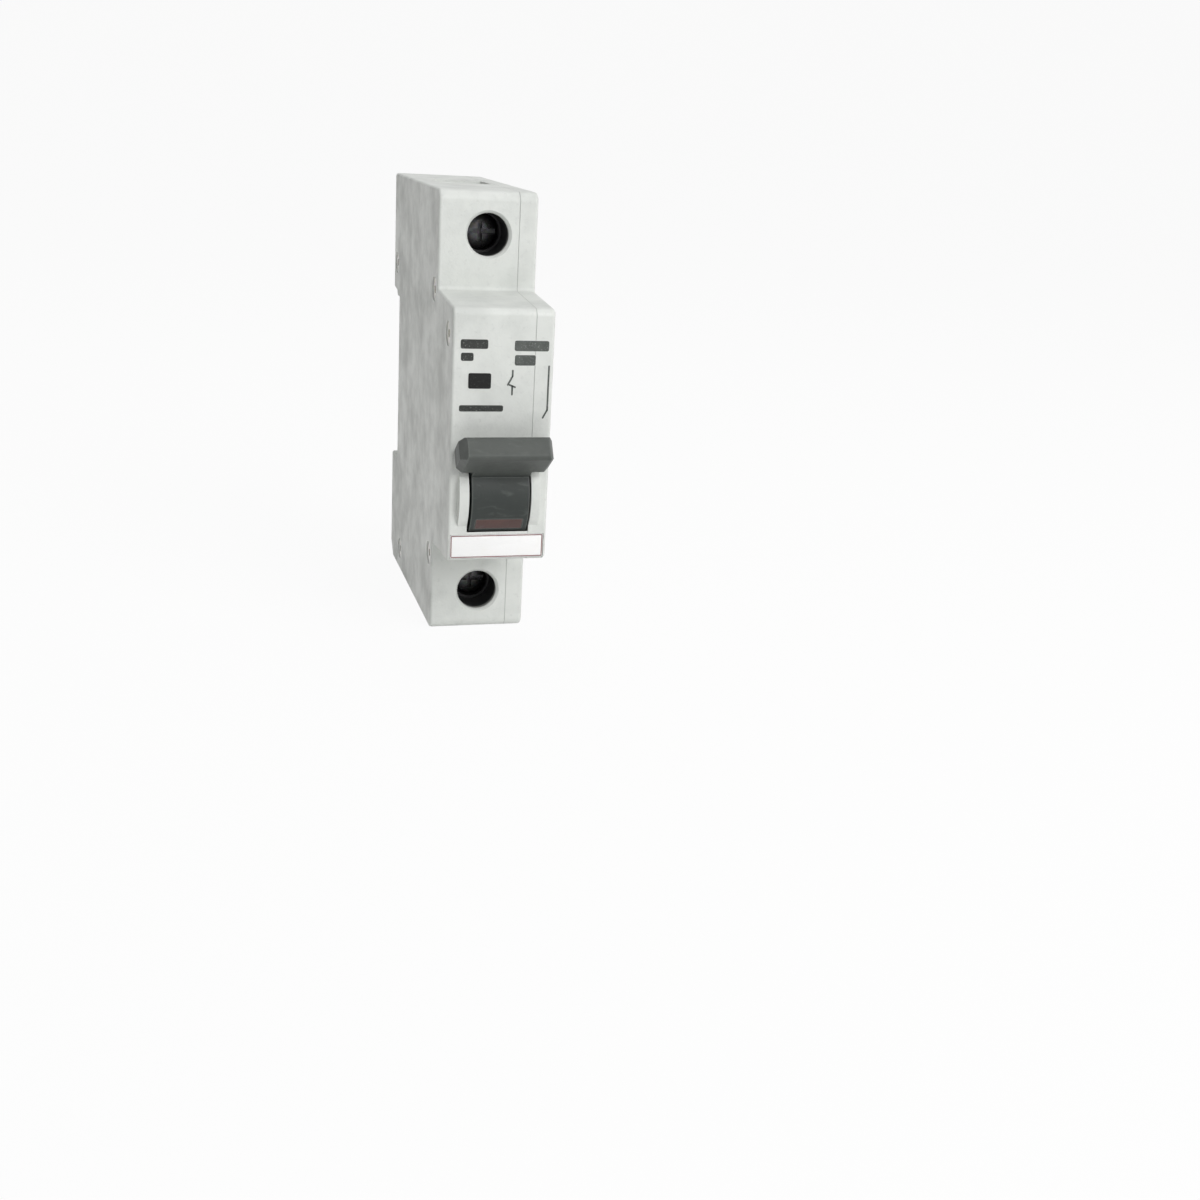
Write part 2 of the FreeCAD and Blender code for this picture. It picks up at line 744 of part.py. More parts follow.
def hub_mark(angles, depth, margin):
    """Curved inlay in the hub's surface, or its pocket when given a margin."""
    edge = math.degrees(margin / hub_radius)
    half = hub_half_width - hub_mark_inset + margin
    reach = hub_radius + (0.5 if margin else 0.0)
    sector = wedge(reach, angles[0] - edge, angles[1] + edge, -half, half)
    return sector.cut(rod_x(hub_radius - depth, -half - 1, half + 1, hub_y, hub_z))


def handle_spring():
    start = Vector(-hub_half_width + 0.4, hub_y, hub_z)
    return spring_along(AXIS_X, start, handle_spring_radius, handle_spring_wire,
                        handle_spring_length, handle_spring_turns)


def drive_link():
    """Bent wire from the hub to the contact carrier."""
    eye = from_hub(link_on_hub[0], 180.0 - link_on_hub[1])
    foot = (carrier_y + link_on_carrier[0], carrier_z + link_on_carrier[1])
    x = (seam_x + inner_x) / 2 - link_spine_offset
    spine_ends = [Vector(x, *eye), Vector(x, *foot)]
    spine = Part.makeCylinder(link_wire_radius, (spine_ends[1] - spine_ends[0]).Length,
                              spine_ends[0], spine_ends[1] - spine_ends[0])
    knees = [Part.makeSphere(link_wire_radius, end) for end in spine_ends]
    legs = [rod_x(link_wire_radius, 0, x, *eye), rod_x(link_wire_radius, -link_foot_length, x, *foot)]
    return spine.fuse(knees + legs).removeSplitter()


# ---------------------------------------------------------------- contacts
def contact_carrier():
    half = carrier_width / 2
    hub = rod_x(carrier_radius, -half, half, carrier_y, carrier_z)
    foot = (carrier_y + link_on_carrier[0], carrier_z + link_on_carrier[1])
    ear = rod_x(link_wire_radius + link_foot_play + link_ear_wall, -link_web_left, half, *foot)
    web = strip([(carrier_y, carrier_z), foot], link_web_width, -link_web_left, half)
    socket = strip([(carrier_y, carrier_z), arm_bend()], socket_thickness, -half, half)
    body = hub.fuse([ear, web, socket])
    arm_slot = strip([(carrier_y, carrier_z), (arm_bend()[0] + 6, arm_bend()[1] + 6 * arm_slope())],
                     arm_thickness, -arm_width / 2, arm_width / 2)
    arm_slot = arm_slot.cut(rod_x(carrier_radius - arm_clearance, -half, half, carrier_y, carrier_z))
    cuts = [arm_slot,
            rod_x(carrier_pin_radius + pin_play, -half - 1, half + 1, carrier_y, carrier_z),
            rod_x(link_wire_radius + link_foot_play, -link_web_left - 1, half + 1, *foot)]
    return body.cut(cuts).removeSplitter()


def arm_bend():
    """Where the contact arm leaves its socket."""
    return (carrier_y + socket_length, carrier_z + socket_length * arm_slope())


def arm_slope():
    rise = moving_tip_top - tip_height - arm_thickness / 2 - carrier_z
    return rise / (contact_y - arm_crank - carrier_y)


def contact_arm():
    z = moving_tip_top - tip_height - arm_thickness / 2
    arm = strip([(carrier_y, carrier_z), (contact_y - arm_crank, z), (contact_y + arm_tail, z)],
                arm_thickness, -arm_width / 2, arm_width / 2)
    clear = rod_x(carrier_radius - arm_clearance, -carrier_width, carrier_width, carrier_y, carrier_z)
    return arm.cut(clear)


def moving_contact_tip():
    return rod_z(tip_radius - 0.3, moving_tip_top - tip_height, moving_tip_top, contact_y)


def contact_spring():
    start = -inner_x + 0.5
    length = inner_x - carrier_width / 2 - 1.1
    return spring_along(AXIS_X, Vector(start, carrier_y, carrier_z), contact_spring_radius,
                        contact_spring_wire, length, contact_spring_turns)


def fixed_contact_bar():
    rear = coil_y + bobbin_flange_radius + yoke_clear + yoke_thickness
    upright_y = rear + bar_thickness / 2
    level = fixed_bar_top - bar_thickness / 2
    bar = strip([(upright_y, coil_bottom + fixed_bar_ear), (upright_y, level),
                 (contact_y - fixed_bar_tail, level)],
                bar_thickness, -bar_width / 2, bar_width / 2)
    ear = box(bar_width / 2 - 0.1, bar_width / 2 + fixed_bar_ear, rear, rear + bar_thickness,
              coil_bottom + 0.2, coil_bottom + fixed_bar_ear)
    return bar.fuse(ear).removeSplitter()


def fixed_contact_tip():
    top = fixed_bar_top - bar_thickness
    return rod_z(tip_radius, top - tip_height, top, contact_y)


# ---------------------------------------------------------------- trip unit
def coil_bobbin():
    tube = rod_z(bobbin_bore + bobbin_wall, coil_bottom, coil_top, coil_y)
    low = rod_z(bobbin_flange_radius, coil_bottom, coil_bottom + bobbin_flange, coil_y)
    high = rod_z(bobbin_flange_radius, coil_top - bobbin_flange, coil_top, coil_y)
    bore = rod_z(bobbin_bore, coil_bottom - 1, coil_top + 1, coil_y)
    return tube.fuse([low, high]).cut(bore).removeSplitter()


def winding_radius():
    return bobbin_bore + bobbin_wall + winding_wire_radius + winding_play


def coil_winding():
    """Copper winding with its two leads, which leave to the rear."""
    inset = bobbin_flange + winding_wire_radius + winding_margin
    length = coil_length - 2 * inset
    z0 = coil_bottom + inset
    coil = spring_along(AXIS_Z, Vector(0, coil_y, z0), winding_radius(), winding_wire_radius,
                        length, winding_turns)
    rear = coil_y + bobbin_flange_radius + yoke_clear + yoke_thickness
    leads = [rod_y(winding_wire_radius, coil_y, rear, z, winding_radius())
             for z in (z0, z0 + length)]
    return coil.fuse(leads)


def coil_yoke():
    y0 = coil_y - bobbin_flange_radius * yoke_reach
    y1 = coil_y + bobbin_flange_radius + yoke_clear
    half = yoke_width / 2
    back = box(-half, half, y1, y1 + yoke_thickness,
               coil_bottom - yoke_thickness, coil_top + yoke_thickness)
    low = box(-half, half, y0, y1, coil_bottom - yoke_thickness, coil_bottom)
    high = box(-half, half, y0, y1, coil_top, coil_top + yoke_thickness)
    hole = rod_z(striker_radius + yoke_hole_play, coil_bottom - yoke_thickness - 1,
                 coil_bottom + 1, coil_y)
    return back.fuse([low, high]).cut(hole).removeSplitter()


def coil_core():
    """Fixed pole in the lower end of the bobbin."""
    pole = rod_z(bobbin_bore - core_play, coil_bottom, coil_bottom + core_length, coil_y)
    return pole.cut(rod_z(striker_radius + core_bore_play, coil_bottom - 1, coil_top, coil_y))


def plunger_bottom():
    return coil_bottom + core_length + plunger_travel + plunger_gap


def plunger():
    z0 = plunger_bottom()
    return rod_z(plunger_radius, z0, z0 + plunger_length, coil_y)


def striker_pin():
    lever_top = trip_z + trip_arm_thickness
    return rod_z(striker_radius, lever_top + plunger_travel + striker_gap,
                 plunger_bottom(), coil_y)


def plunger_spring():
    length = plunger_travel - plunger_spring_slack
    z0 = coil_bottom + core_length + plunger_spring_gap
    return spring_along(AXIS_Z, Vector(0, coil_y, z0), plunger_spring_radius,
                        plunger_spring_wire, length, plunger_spring_turns)


def trip_lever():
    half = trip_width / 2
    hub = rod_x(trip_hub_radius, -half, half, trip_y, trip_z)
    rear_arm = box(-half, half, trip_y + trip_pin_radius, coil_y + trip_arm_reach,
                   trip_z, trip_z + trip_arm_thickness)
    upper = slab([(trip_y + y, trip_z + z) for y, z in trip_upper_outline], -half, half)
    latch = slab([(trip_y + y, trip_z + z) for y, z in trip_latch_outline], -half / 2, half / 2)
    body = hub.fuse([rear_arm, upper, latch])
    bore = rod_x(trip_pin_radius + pin_play, -half - 1, half + 1, trip_y, trip_z)
    return body.cut(bore).removeSplitter()


def trip_spring():
    start = -inner_x + 0.4
    length = inner_x - trip_width / 2 - 0.9
    return spring_along(AXIS_X, Vector(start, trip_y, trip_z), trip_spring_radius,
                        trip_spring_wire, length, trip_spring_turns)


def bimetal_support():
    """Bracket under the line strap: a block for the strip and a leg for the set screw."""
    half = bimetal_width / 2
    top = strap_underside
    block = box(-half, half, bimetal_rear, bimetal_rear + bimetal_block, top - bimetal_block_height, top)
    leg_front = bimetal_front - bracket_reach
    bridge = box(-half, half, leg_front, bimetal_rear, top - bracket_thickness, top)
    leg = box(-half, half, leg_front, leg_front + bracket_leg,
              calibration_z() - bracket_foot, top)
    bore = rod_y(set_screw_radius, leg_front - 1, bimetal_front, calibration_z())
    return block.fuse([bridge, leg]).cut(bore).removeSplitter()


def calibration_z():
    return strap_underside - calibration_drop


def calibration_screw():
    z = calibration_z()
    under_head = bimetal_front - set_screw_length
    face = under_head - set_screw_head
    shank = rod_y(set_screw_radius, under_head, bimetal_front - set_screw_gap, z)
    head = rod_y(set_screw_head_radius, face, under_head, z)
    slot = box(-set_screw_head_radius - 1, set_screw_head_radius + 1,
               face - 1, face + set_screw_head / 2,
               z - set_screw_slot / 2, z + set_screw_slot / 2)
    return shank.fuse(head).cut(slot).removeSplitter()


def bimetal_strip():
    return box(-bimetal_width / 2, bimetal_width / 2, bimetal_front, bimetal_rear - 0.01,
               bimetal_bottom, strap_underside - bimetal_gap)


def flexible_braid():
    """Braided lead from the strip's free end to the contact arm, in front of the trip pin."""
    arm = (carrier_y + braid_on_arm, carrier_z + braid_on_arm * arm_slope())
    x = trip_width / 2 + 1.5
    front = trip_y - trip_pin_radius - braid_radius - 1.0
    return round_cord([
        (1.2, bimetal_front - braid_radius - 0.02, bimetal_bottom + braid_on_strip),
        (2.2, bimetal_front - braid_radius - 0.4, bimetal_bottom + 0.2),
        (x - 0.2, front, trip_z),
        (x, front + 0.4, trip_z - 4.6),
        (x - 0.1, arm[0] - 2.6, arm[1] + 4.0),
        (arm_width / 2 + braid_radius + 0.05, arm[0], arm[1] - 0.4),
    ], braid_radius)


# ---------------------------------------------------------------- terminals
def clamp_cage():
    z0, z1 = screw_z - cage_height / 2, screw_z + cage_height / 2
    half = cage_width / 2
    body = box(-half, half, cage_front_y, cage_rear_y, z0, z1)
    window = box(-half + cage_side, half - cage_side, cage_window_y, cage_window_y + cage_window,
                 z0 - 1, z1 + 1)
    thread = rod_y(screw_radius + pin_play, cage_front_y - 1, cage_window_y + 1, screw_z)
    grooves = [box(-half + cage_side, half - cage_side, cage_rear_y - cage_rear - 1,
                   cage_rear_y - cage_rear + 0.3, z, z + 0.6)
               for z in (screw_z - 2.4, screw_z - 0.3, screw_z + 1.8)]
    return body.cut([window, thread] + grooves).removeSplitter()


def terminal_screw():
    head = rod_y(head_radius, head_seat - head_play - head_height, head_seat - head_play, screw_z)
    shank = rod_y(screw_radius, head_seat - head_play, plate_front_y - seat_gap, screw_z)
    face = head_seat - head_play - head_height
    slots = [box(-head_radius - 1, head_radius + 1, face - 1, face + slot_depth,
                 screw_z - slot_width / 2, screw_z + slot_width / 2),
             box(-slot_width / 2, slot_width / 2, face - 1, face + slot_depth * 1.5,
                 screw_z - head_radius * cross_share, screw_z + head_radius * cross_share)]
    return head.fuse(shank).cut(slots).removeSplitter()


def line_terminal_plate():
    """Plate in the upper cage, with the strap that carries the bimetal's bracket."""
    y = (plate_front_y + plate_rear_y) / 2
    top = screw_z + cage_height / 2 - plate_below_cage
    plate = strip([(y, top), (y, strap_level), (bimetal_front - 1.7, strap_level)],
                  plate_thickness, -plate_width / 2 + line_strap_narrowing,
                  plate_width / 2 - line_strap_narrowing)
    wide = box(-plate_width / 2, plate_width / 2, plate_front_y, plate_rear_y,
               screw_z - plate_below_screw, top)
    return plate.fuse(wide).removeSplitter()


def load_terminal_plate():
    top = screw_z + cage_height / 2 - plate_below_cage
    plate = box(-plate_width / 2, plate_width / 2, plate_front_y, plate_rear_y,
                -top, load_strap_level + load_strap_thickness / 2)
    return plate


def load_strap():
    """Strap from the lower plate, behind the arc chute, up to the winding's top lead."""
    inset = bobbin_flange + winding_wire_radius + winding_margin
    lead_z = coil_top - inset
    y_rear = -wall - 0.2 - load_strap_thickness / 2
    lead_end = coil_y + bobbin_flange_radius + yoke_clear + yoke_thickness
    half = load_strap_width / 2
    body = strip([(plate_rear_y, load_strap_level), (y_rear, load_strap_level),
                  (y_rear, lead_z)], load_strap_thickness, -half, half)
    tab = box(-half, winding_radius() + 1.0, lead_end + 0.02, y_rear + load_strap_thickness / 2,
              lead_z - load_strap_thickness / 2, lead_z + load_strap_thickness / 2)
    return body.fuse(tab).removeSplitter()


# ---------------------------------------------------------------- arc chute
def splitter_places():
    return [first_splitter_z - index * splitter_pitch for index in range(splitter_count)]


def arc_splitter_plates():
    half = inner_x - inner_gap - chute_side_thickness
    plates = []
    for z in splitter_places():
        plate = box(-half, half, splitter_front, splitter_rear,
                    z - splitter_thickness / 2, z + splitter_thickness / 2)
        corners = [Vector(-splitter_mouth / 2, splitter_front - 1, z - 1),
                   Vector(splitter_mouth / 2, splitter_front - 1, z - 1),
                   Vector(splitter_notch_end / 2, splitter_front + splitter_notch, z - 1),
                   Vector(-splitter_notch_end / 2, splitter_front + splitter_notch, z - 1)]
        notch = Part.Face(Part.makePolygon(corners + corners[:1])).extrude(Vector(0, 0, 2))
        plates.append(plate.cut(notch))
    return Part.makeCompound(plates)


def arc_chute_sides():
    """Two fibre side plates that hold the splitter plates."""
    outer = inner_x - inner_gap
    z0 = lower_runner_z + runner_thickness / 2 + chute_gap
    z1 = upper_runner_z - runner_thickness / 2 - chute_gap
    sides = []
    for x0, x1 in ((-outer, -outer + chute_side_thickness), (outer - chute_side_thickness, outer)):
        sides.append(box(x0, x1, splitter_front - chute_lap, splitter_rear + chute_lap, z0, z1))
    return Part.makeCompound(sides)


def upper_arc_runner():
    half = runner_width / 2
    under = fixed_bar_top - bar_thickness - runner_thickness / 2
    return strip([(contact_y + 2.6, under), (contact_y + 4.4, under),
                  (splitter_front - 0.4, upper_runner_z), (splitter_rear, upper_runner_z)],
                 runner_thickness, -half, half)


def lower_arc_runner():
    half = runner_width / 2
    return strip([(carrier_y + 5.4, lower_runner_z + 1.6), (carrier_y + 9.4, lower_runner_z),
                  (splitter_rear, lower_runner_z)], runner_thickness, -half, half)


def vent_baffle():
    half = inner_x - inner_gap
    y0 = splitter_rear + baffle_gap
    z0, z1 = lower_runner_z, upper_runner_z
    sheet = box(-half, half, y0, y0 + baffle_thickness, z0, z1)
    pitch = (z1 - z0) / (baffle_slots + 1)
    slots = []
    for index in range(baffle_slots):
        z = z0 + pitch * (index + 1)
        slots.append(box(-half + baffle_edge, half - baffle_edge,
                         y0 - 1, y0 + baffle_thickness + 1,
                         z - baffle_slot_height / 2, z + baffle_slot_height / 2))
    return sheet.cut(slots)


# ---------------------------------------------------------------- rail clip and label
def din_clip():
    half = clip_width / 2
    y0 = clip_channel_front + loose_gap
    y1 = y0 + clip_thickness
    nose_top = -half_recess + clip_nose
    side = slab([(y0, -half_height), (y1, -half_height), (y1, -half_recess - clip_nose_step),
                 (y1 - clip_lead_in, nose_top), (y0, nose_top)], -half, half)
    window_top = clip_window_low() + loose_gap + clip_stop_height + clip_spring_length
    window = box(-clip_window_width / 2, clip_window_width / 2, y0 - 1, y1 + 1,
                 clip_window_low(), window_top)
    slot_wide, slot_high, slot_inset = clip_pull_slot
    slot = box(-slot_wide / 2, slot_wide / 2, y0 + slot_inset, y1 - slot_inset,
               -half_height - 1, -half_height + slot_high)
    return side.cut([window, slot])


def din_clip_spring():
    z0 = clip_window_low() + loose_gap + clip_stop_height
    y = clip_channel_front + loose_gap + clip_thickness / 2
    return spring_along(AXIS_Z, Vector(0, y, z0 + clip_spring_slack), clip_spring_radius,
                        clip_spring_wire, clip_spring_length - 2 * clip_spring_slack,
                        clip_spring_turns)


def label_card():
    low = -half_nose + label_from_edge
    card = box(-label_width / 2, label_width / 2, -nose_depth + label_recess - label_thickness,
               -nose_depth + label_recess, low, low + label_height)
    return card


# ---------------------------------------------------------------- all nodes
def nodes():
    cage = clamp_cage()
    screw = terminal_screw()
    return {
        "housing_base": housing_base(),
        "housing_cover": housing_cover(),
        "housing_rivets": housing_rivets(),
        "handle": handle(),
        "handle_pin": cross_pin(*pin_places()[0]),
        "handle_spring": handle_spring(),
        "handle_on_mark": hub_mark(on_mark_angles, mark_depth, 0.0),
        "handle_off_mark": hub_mark(off_mark_angles, mark_depth, 0.0),
        "drive_link": drive_link(),
        "contact_carrier": contact_carrier(),
        "carrier_pin": cross_pin(*pin_places()[1]),
        "contact_arm": contact_arm(),
        "moving_contact_tip": moving_contact_tip(),
        "contact_spring": contact_spring(),
        "fixed_contact_bar": fixed_contact_bar(),
        "fixed_contact_tip": fixed_contact_tip(),
        "trip_lever": trip_lever(),
        "trip_lever_pin": cross_pin(*pin_places()[2]),
        "trip_spring": trip_spring(),
        "coil_bobbin": coil_bobbin(),
        "coil_winding": coil_winding(),
        "coil_yoke": coil_yoke(),
        "coil_core": coil_core(),
        "plunger": plunger(),
        "striker_pin": striker_pin(),
        "plunger_spring": plunger_spring(),
        "bimetal_support": bimetal_support(),
        "bimetal_strip": bimetal_strip(),
        "calibration_screw": calibration_screw(),
        "flexible_braid": flexible_braid(),
        "line_clamp_cage": cage,
        "load_clamp_cage": mirrored_z(cage),
        "line_terminal_screw": screw,
        "load_terminal_screw": mirrored_z(screw),
        "line_terminal_plate": line_terminal_plate(),
        "load_terminal_plate": load_terminal_plate(),
        "load_strap": load_strap(),
        "arc_splitter_plates": arc_splitter_plates(),
        "arc_chute_sides": arc_chute_sides(),
        "upper_arc_runner": upper_arc_runner(),
        "lower_arc_runner": lower_arc_runner(),
        "vent_baffle": vent_baffle(),
        "din_clip": din_clip(),
        "din_clip_spring": din_clip_spring(),
        "label_card": label_card(),
    }


def main():
    os.makedirs("parts", exist_ok=True)
    for name, shape in nodes().items():
        solids = shape.Solids
        state = "ok" if shape.isValid() else "NOT VALID"
        print("%-22s %d solid(s) %9.2f mm3 %s" % (name, len(solids), shape.Volume, state))
        if not solids:
            raise RuntimeError("no solid in " + name)
        whole = solids[0] if len(solids) == 1 else Part.makeCompound(solids)
        whole.exportStep("parts/" + name + ".step")


main()
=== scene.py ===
import math

import bmesh
import bpy
from bpy.props import (FloatProperty, FloatVectorProperty, IntProperty, PointerProperty)
from mathutils import Matrix, Vector


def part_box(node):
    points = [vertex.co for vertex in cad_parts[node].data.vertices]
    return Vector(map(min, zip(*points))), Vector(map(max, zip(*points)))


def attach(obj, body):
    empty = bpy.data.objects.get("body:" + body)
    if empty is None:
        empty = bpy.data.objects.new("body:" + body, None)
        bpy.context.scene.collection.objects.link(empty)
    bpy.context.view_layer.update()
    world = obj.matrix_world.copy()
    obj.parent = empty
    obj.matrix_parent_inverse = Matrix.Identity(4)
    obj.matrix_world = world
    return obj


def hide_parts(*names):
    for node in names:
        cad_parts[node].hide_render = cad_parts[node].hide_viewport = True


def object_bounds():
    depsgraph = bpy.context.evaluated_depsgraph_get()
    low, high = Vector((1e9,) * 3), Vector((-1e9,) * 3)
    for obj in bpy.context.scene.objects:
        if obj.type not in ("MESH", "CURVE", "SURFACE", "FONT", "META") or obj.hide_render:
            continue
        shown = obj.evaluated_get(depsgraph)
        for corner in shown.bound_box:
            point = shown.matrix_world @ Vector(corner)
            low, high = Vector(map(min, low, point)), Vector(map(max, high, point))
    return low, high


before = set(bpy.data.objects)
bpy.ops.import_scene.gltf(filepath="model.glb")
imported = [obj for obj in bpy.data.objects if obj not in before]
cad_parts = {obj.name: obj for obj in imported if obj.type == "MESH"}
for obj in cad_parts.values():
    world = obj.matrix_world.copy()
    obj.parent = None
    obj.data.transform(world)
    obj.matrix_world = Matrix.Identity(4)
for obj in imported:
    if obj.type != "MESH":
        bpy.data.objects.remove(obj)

bl_info = {
    "name": "Rail breaker looks",
    "version": (1, 0, 0),
    "blender": (4, 5, 0),
    "location": "3D View > Sidebar > Breaker",
    "description": "Finishes, printed marks, label, screws and stage of a one-module rail breaker",
    "category": "Object",
}

CAD_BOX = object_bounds()
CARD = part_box("label_card")
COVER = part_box("housing_cover")
LINE_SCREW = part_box("line_terminal_screw")
LOAD_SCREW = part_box("load_terminal_screw")
MM = 0.001
WELL_MOUTH = -45.0 * MM      # the terminal shoulders' face, where the screw wells open
WELL_UNSHADED_RIM = 0.2 * MM        # clean rim below the mouth, before the painted shade begins
WELL_FULL_SHADE = 1.8 * MM        # depth below the mouth where the painted shade is full
WELL_SHADE_TAIL = 4.0 * MM         # how far the painted shade runs on past the screw's face
SOFT_EDGE = 0.1 * MM         # width over which a painted zone fades out
HUB_SHADE_ZONE = (8.8 * MM, 10.4 * MM)     # painted shade on the hub, dark to the toggle's grey, from the hub's axis outwards
INK_SINK = 0.05 * MM         # how deep a printed mark is set into the surface
INK_CORNER = 0.3 * MM
LABEL_RIM = 0.04 * MM        # rounding of the card's front edge
FRAME_INSET = 0.1 * MM       # from the card's edge to its printed frame
FRAME_INK = 0.02 * MM
SHANK_RADIUS = 2.5 * MM
HEAD_HEIGHT = 2.6 * MM
FLOOR_SIDE = 4.0             # half the studio floor's width, metres like all that follow
FLOOR_FRONT, FLOOR_BACK, FLOOR_RISE, FLOOR_SWEEP = -3.0, 2.4, 3.4, 1.8


# ------------------------------------------------------------ sizes and colours
def colour_prop(name, description, default):
    return FloatVectorProperty(name=name, description=description, subtype="COLOR",
                               size=3, min=0.0, max=1.0, default=default)


def length_prop(name, description, default):
    return FloatProperty(name=name, description=description, default=default,
                         min=0.0, unit="LENGTH", precision=5)


def share_prop(name, description, default):
    return FloatProperty(name=name, description=description, default=default,
                         min=0.0, max=1.0, subtype="FACTOR")


class BreakerCaseFinish(bpy.types.PropertyGroup):
    """Moulded case."""
    colour: colour_prop("Case colour", "Clean colour of the light grey moulding",
                        (0.72, 0.74, 0.71))
    shade: colour_prop("Mottle colour", "Duller patches of the moulding", (0.58, 0.60, 0.575))
    # Painted shade: the broad flat sides get a duller grey than the front, standing for the shade
    # they sit in
    side_shade_colour: colour_prop("Side colour", "Duller colour of the broad flat sides",
                             (0.645, 0.66, 0.63))
    # Painted shade, not dirt: near black colour standing for the shade down in the screw wells
    well_shade_colour: colour_prop("Well colour", "Dirt and shadow down in the screw wells",
                             (0.012, 0.012, 0.013))
    # Painted shade: how far the darkened zone reaches from each well's axis
    well_radius: length_prop("Well radius", "How far the dirt reaches from a well's axis",
                             0.0041)
    roughness: share_prop("Roughness", "Mean roughness of the case", 0.46)
    patch_size: length_prop("Patch size", "Width of the duller patches", 0.006)
    grain_size: length_prop("Grain size", "Width of the spark-eroded grain", 0.00035)
    grain_depth: length_prop("Grain depth", "Depth of the spark-eroded grain", 0.000025)
    seam_width: length_prop("Seam width", "Width of the joint between the two shells", 0.00009)
    edge_radius: length_prop("Edge wear radius", "How far wear reaches in from an edge",
                             0.0005)


class BreakerHandleFinish(bpy.types.PropertyGroup):
    """Toggle and its inlays."""
    colour: colour_prop("Toggle colour", "Grey of the moulded toggle", (0.082, 0.090, 0.083))
    # Painted shade: the hub gets a much darker grey than the toggle, for the shade on its downward
    # face
    hub_shade_colour: colour_prop("Hub colour", "Darker grey of the hub", (0.022, 0.028, 0.026))
    # Partly painted shade: the red inlay's colour is darkened to a dull red-brown as if in shade
    on_colour: colour_prop("On inlay", "Red-brown inlay seen when the toggle is up",
                           (0.078, 0.034, 0.028))
    off_colour: colour_prop("Off inlay", "Green inlay seen when the toggle is down",
                            (0.03, 0.20, 0.06))


class BreakerMetalFinish(bpy.types.PropertyGroup):
    """Metals of the terminals and the works."""
    steel: colour_prop("Steel", "Plain steel", (0.46, 0.45, 0.44))
    spring: colour_prop("Spring steel", "Drawn spring wire", (0.33, 0.33, 0.34))
    zinc: colour_prop("Zinc plate", "Zinc plated steel", (0.58, 0.58, 0.56))
    # Painted shade: the screws are given near black to stand for the shade deep in their wells,
    # not a black finish
    shaded_screw_colour: colour_prop("Blackened steel", "Oiled black finish of the terminal screws",
                           (0.11, 0.11, 0.112))
    copper: colour_prop("Copper", "Bare copper", (0.80, 0.42, 0.28))
    silver: colour_prop("Silver", "Silver alloy of the contacts", (0.78, 0.77, 0.74))
    bimetal: colour_prop("Bimetal", "Bimetal strip", (0.55, 0.49, 0.40))


class BreakerPrint(bpy.types.PropertyGroup):
    """Pad-printed marks on the nose."""
    ink_colour: colour_prop("Ink", "Dark grey print", (0.040, 0.043, 0.040))
    block_colour: colour_prop("Block ink", "Nearly black print of the block",
                              (0.009, 0.009, 0.009))
    soft_ink_colour: colour_prop("Pale ink", "Paler grey print", (0.088, 0.096, 0.090))
    ink_height: length_prop("Ink height", "How far the print stands out", 0.00004)
    line_width: length_prop("Line width", "Width of the drawn lines", 0.0003)


class BreakerLabel(bpy.types.PropertyGroup):
    """Blank label card in the nose's lower edge."""
    colour: colour_prop("Card colour", "White of the card", (0.97, 0.97, 0.965))
    # Partly painted shadow: the printed frame's red is darkened to also stand for the dark shadow
    # line along the card's left and bottom
    frame_and_shadow_colour: colour_prop("Frame colour", "Thin printed frame of the card",
                              (0.22, 0.11, 0.11))
    frame_width: length_prop("Frame width", "Width of the printed frame", 0.00018)
    corner_radius: length_prop("Corner radius", "Radius of the card's corners", 0.00035)


class BreakerScrew(bpy.types.PropertyGroup):
    """Terminal screws."""
    dome: length_prop("Dome", "Rise of the head's face", 0.00025)
    slot_width: length_prop("Slot width", "Width of the driver slot", 0.0009)
    slot_depth: length_prop("Slot depth", "Depth of the driver slot", 0.0013)
    thread_pitch: length_prop("Thread pitch", "Pitch of the grooves on the shank", 0.0008)
    segments: IntProperty(name="Segments", description="Facets round the head",
                          default=64, min=24, max=128)


class BreakerStage(bpy.types.PropertyGroup):
    """Floor, lamps and camera."""
    floor_colour: colour_prop("Floor colour", "Plain pale floor", (0.86, 0.86, 0.855))
    floor_glow: share_prop("Floor glow", "How far the floor itself shows white to the view",
                           0.93)
    ambient: FloatProperty(name="Ambient", description="Light from all sides", default=0.305,
                           min=0.0)
    key_power: FloatProperty(name="Key lamp", description="Large soft lamp at the front right",
                             default=2.75, min=0.0, unit="POWER")
    fill_power: FloatProperty(name="Fill lamp", description="Weak soft lamp at the left",
                              default=0.22, min=0.0, unit="POWER")
    top_power: FloatProperty(name="Top lamp", description="Soft lamp above", default=1.1,
                             min=0.0, unit="POWER")
    camera_place: FloatVectorProperty(name="Camera place", description="Camera location",
                                      size=3, subtype="XYZ", unit="LENGTH",
                                      default=(-0.0561, -0.3113, 0.0554))
    camera_yaw: FloatProperty(name="Yaw", description="Turn to the right about the vertical",
                              subtype="ANGLE", default=math.radians(-16.91))
    camera_pitch: FloatProperty(name="Pitch", description="Tilt of the view, up is positive",
                                subtype="ANGLE", default=math.radians(-18.23))
    camera_roll: FloatProperty(name="Roll", description="Turn about the view's own axis",
                               subtype="ANGLE", default=math.radians(-3.44))
    lens: FloatProperty(name="Focal length", description="Lens in millimetres on a 36 mm sensor",
                        default=44.4, min=1.0)


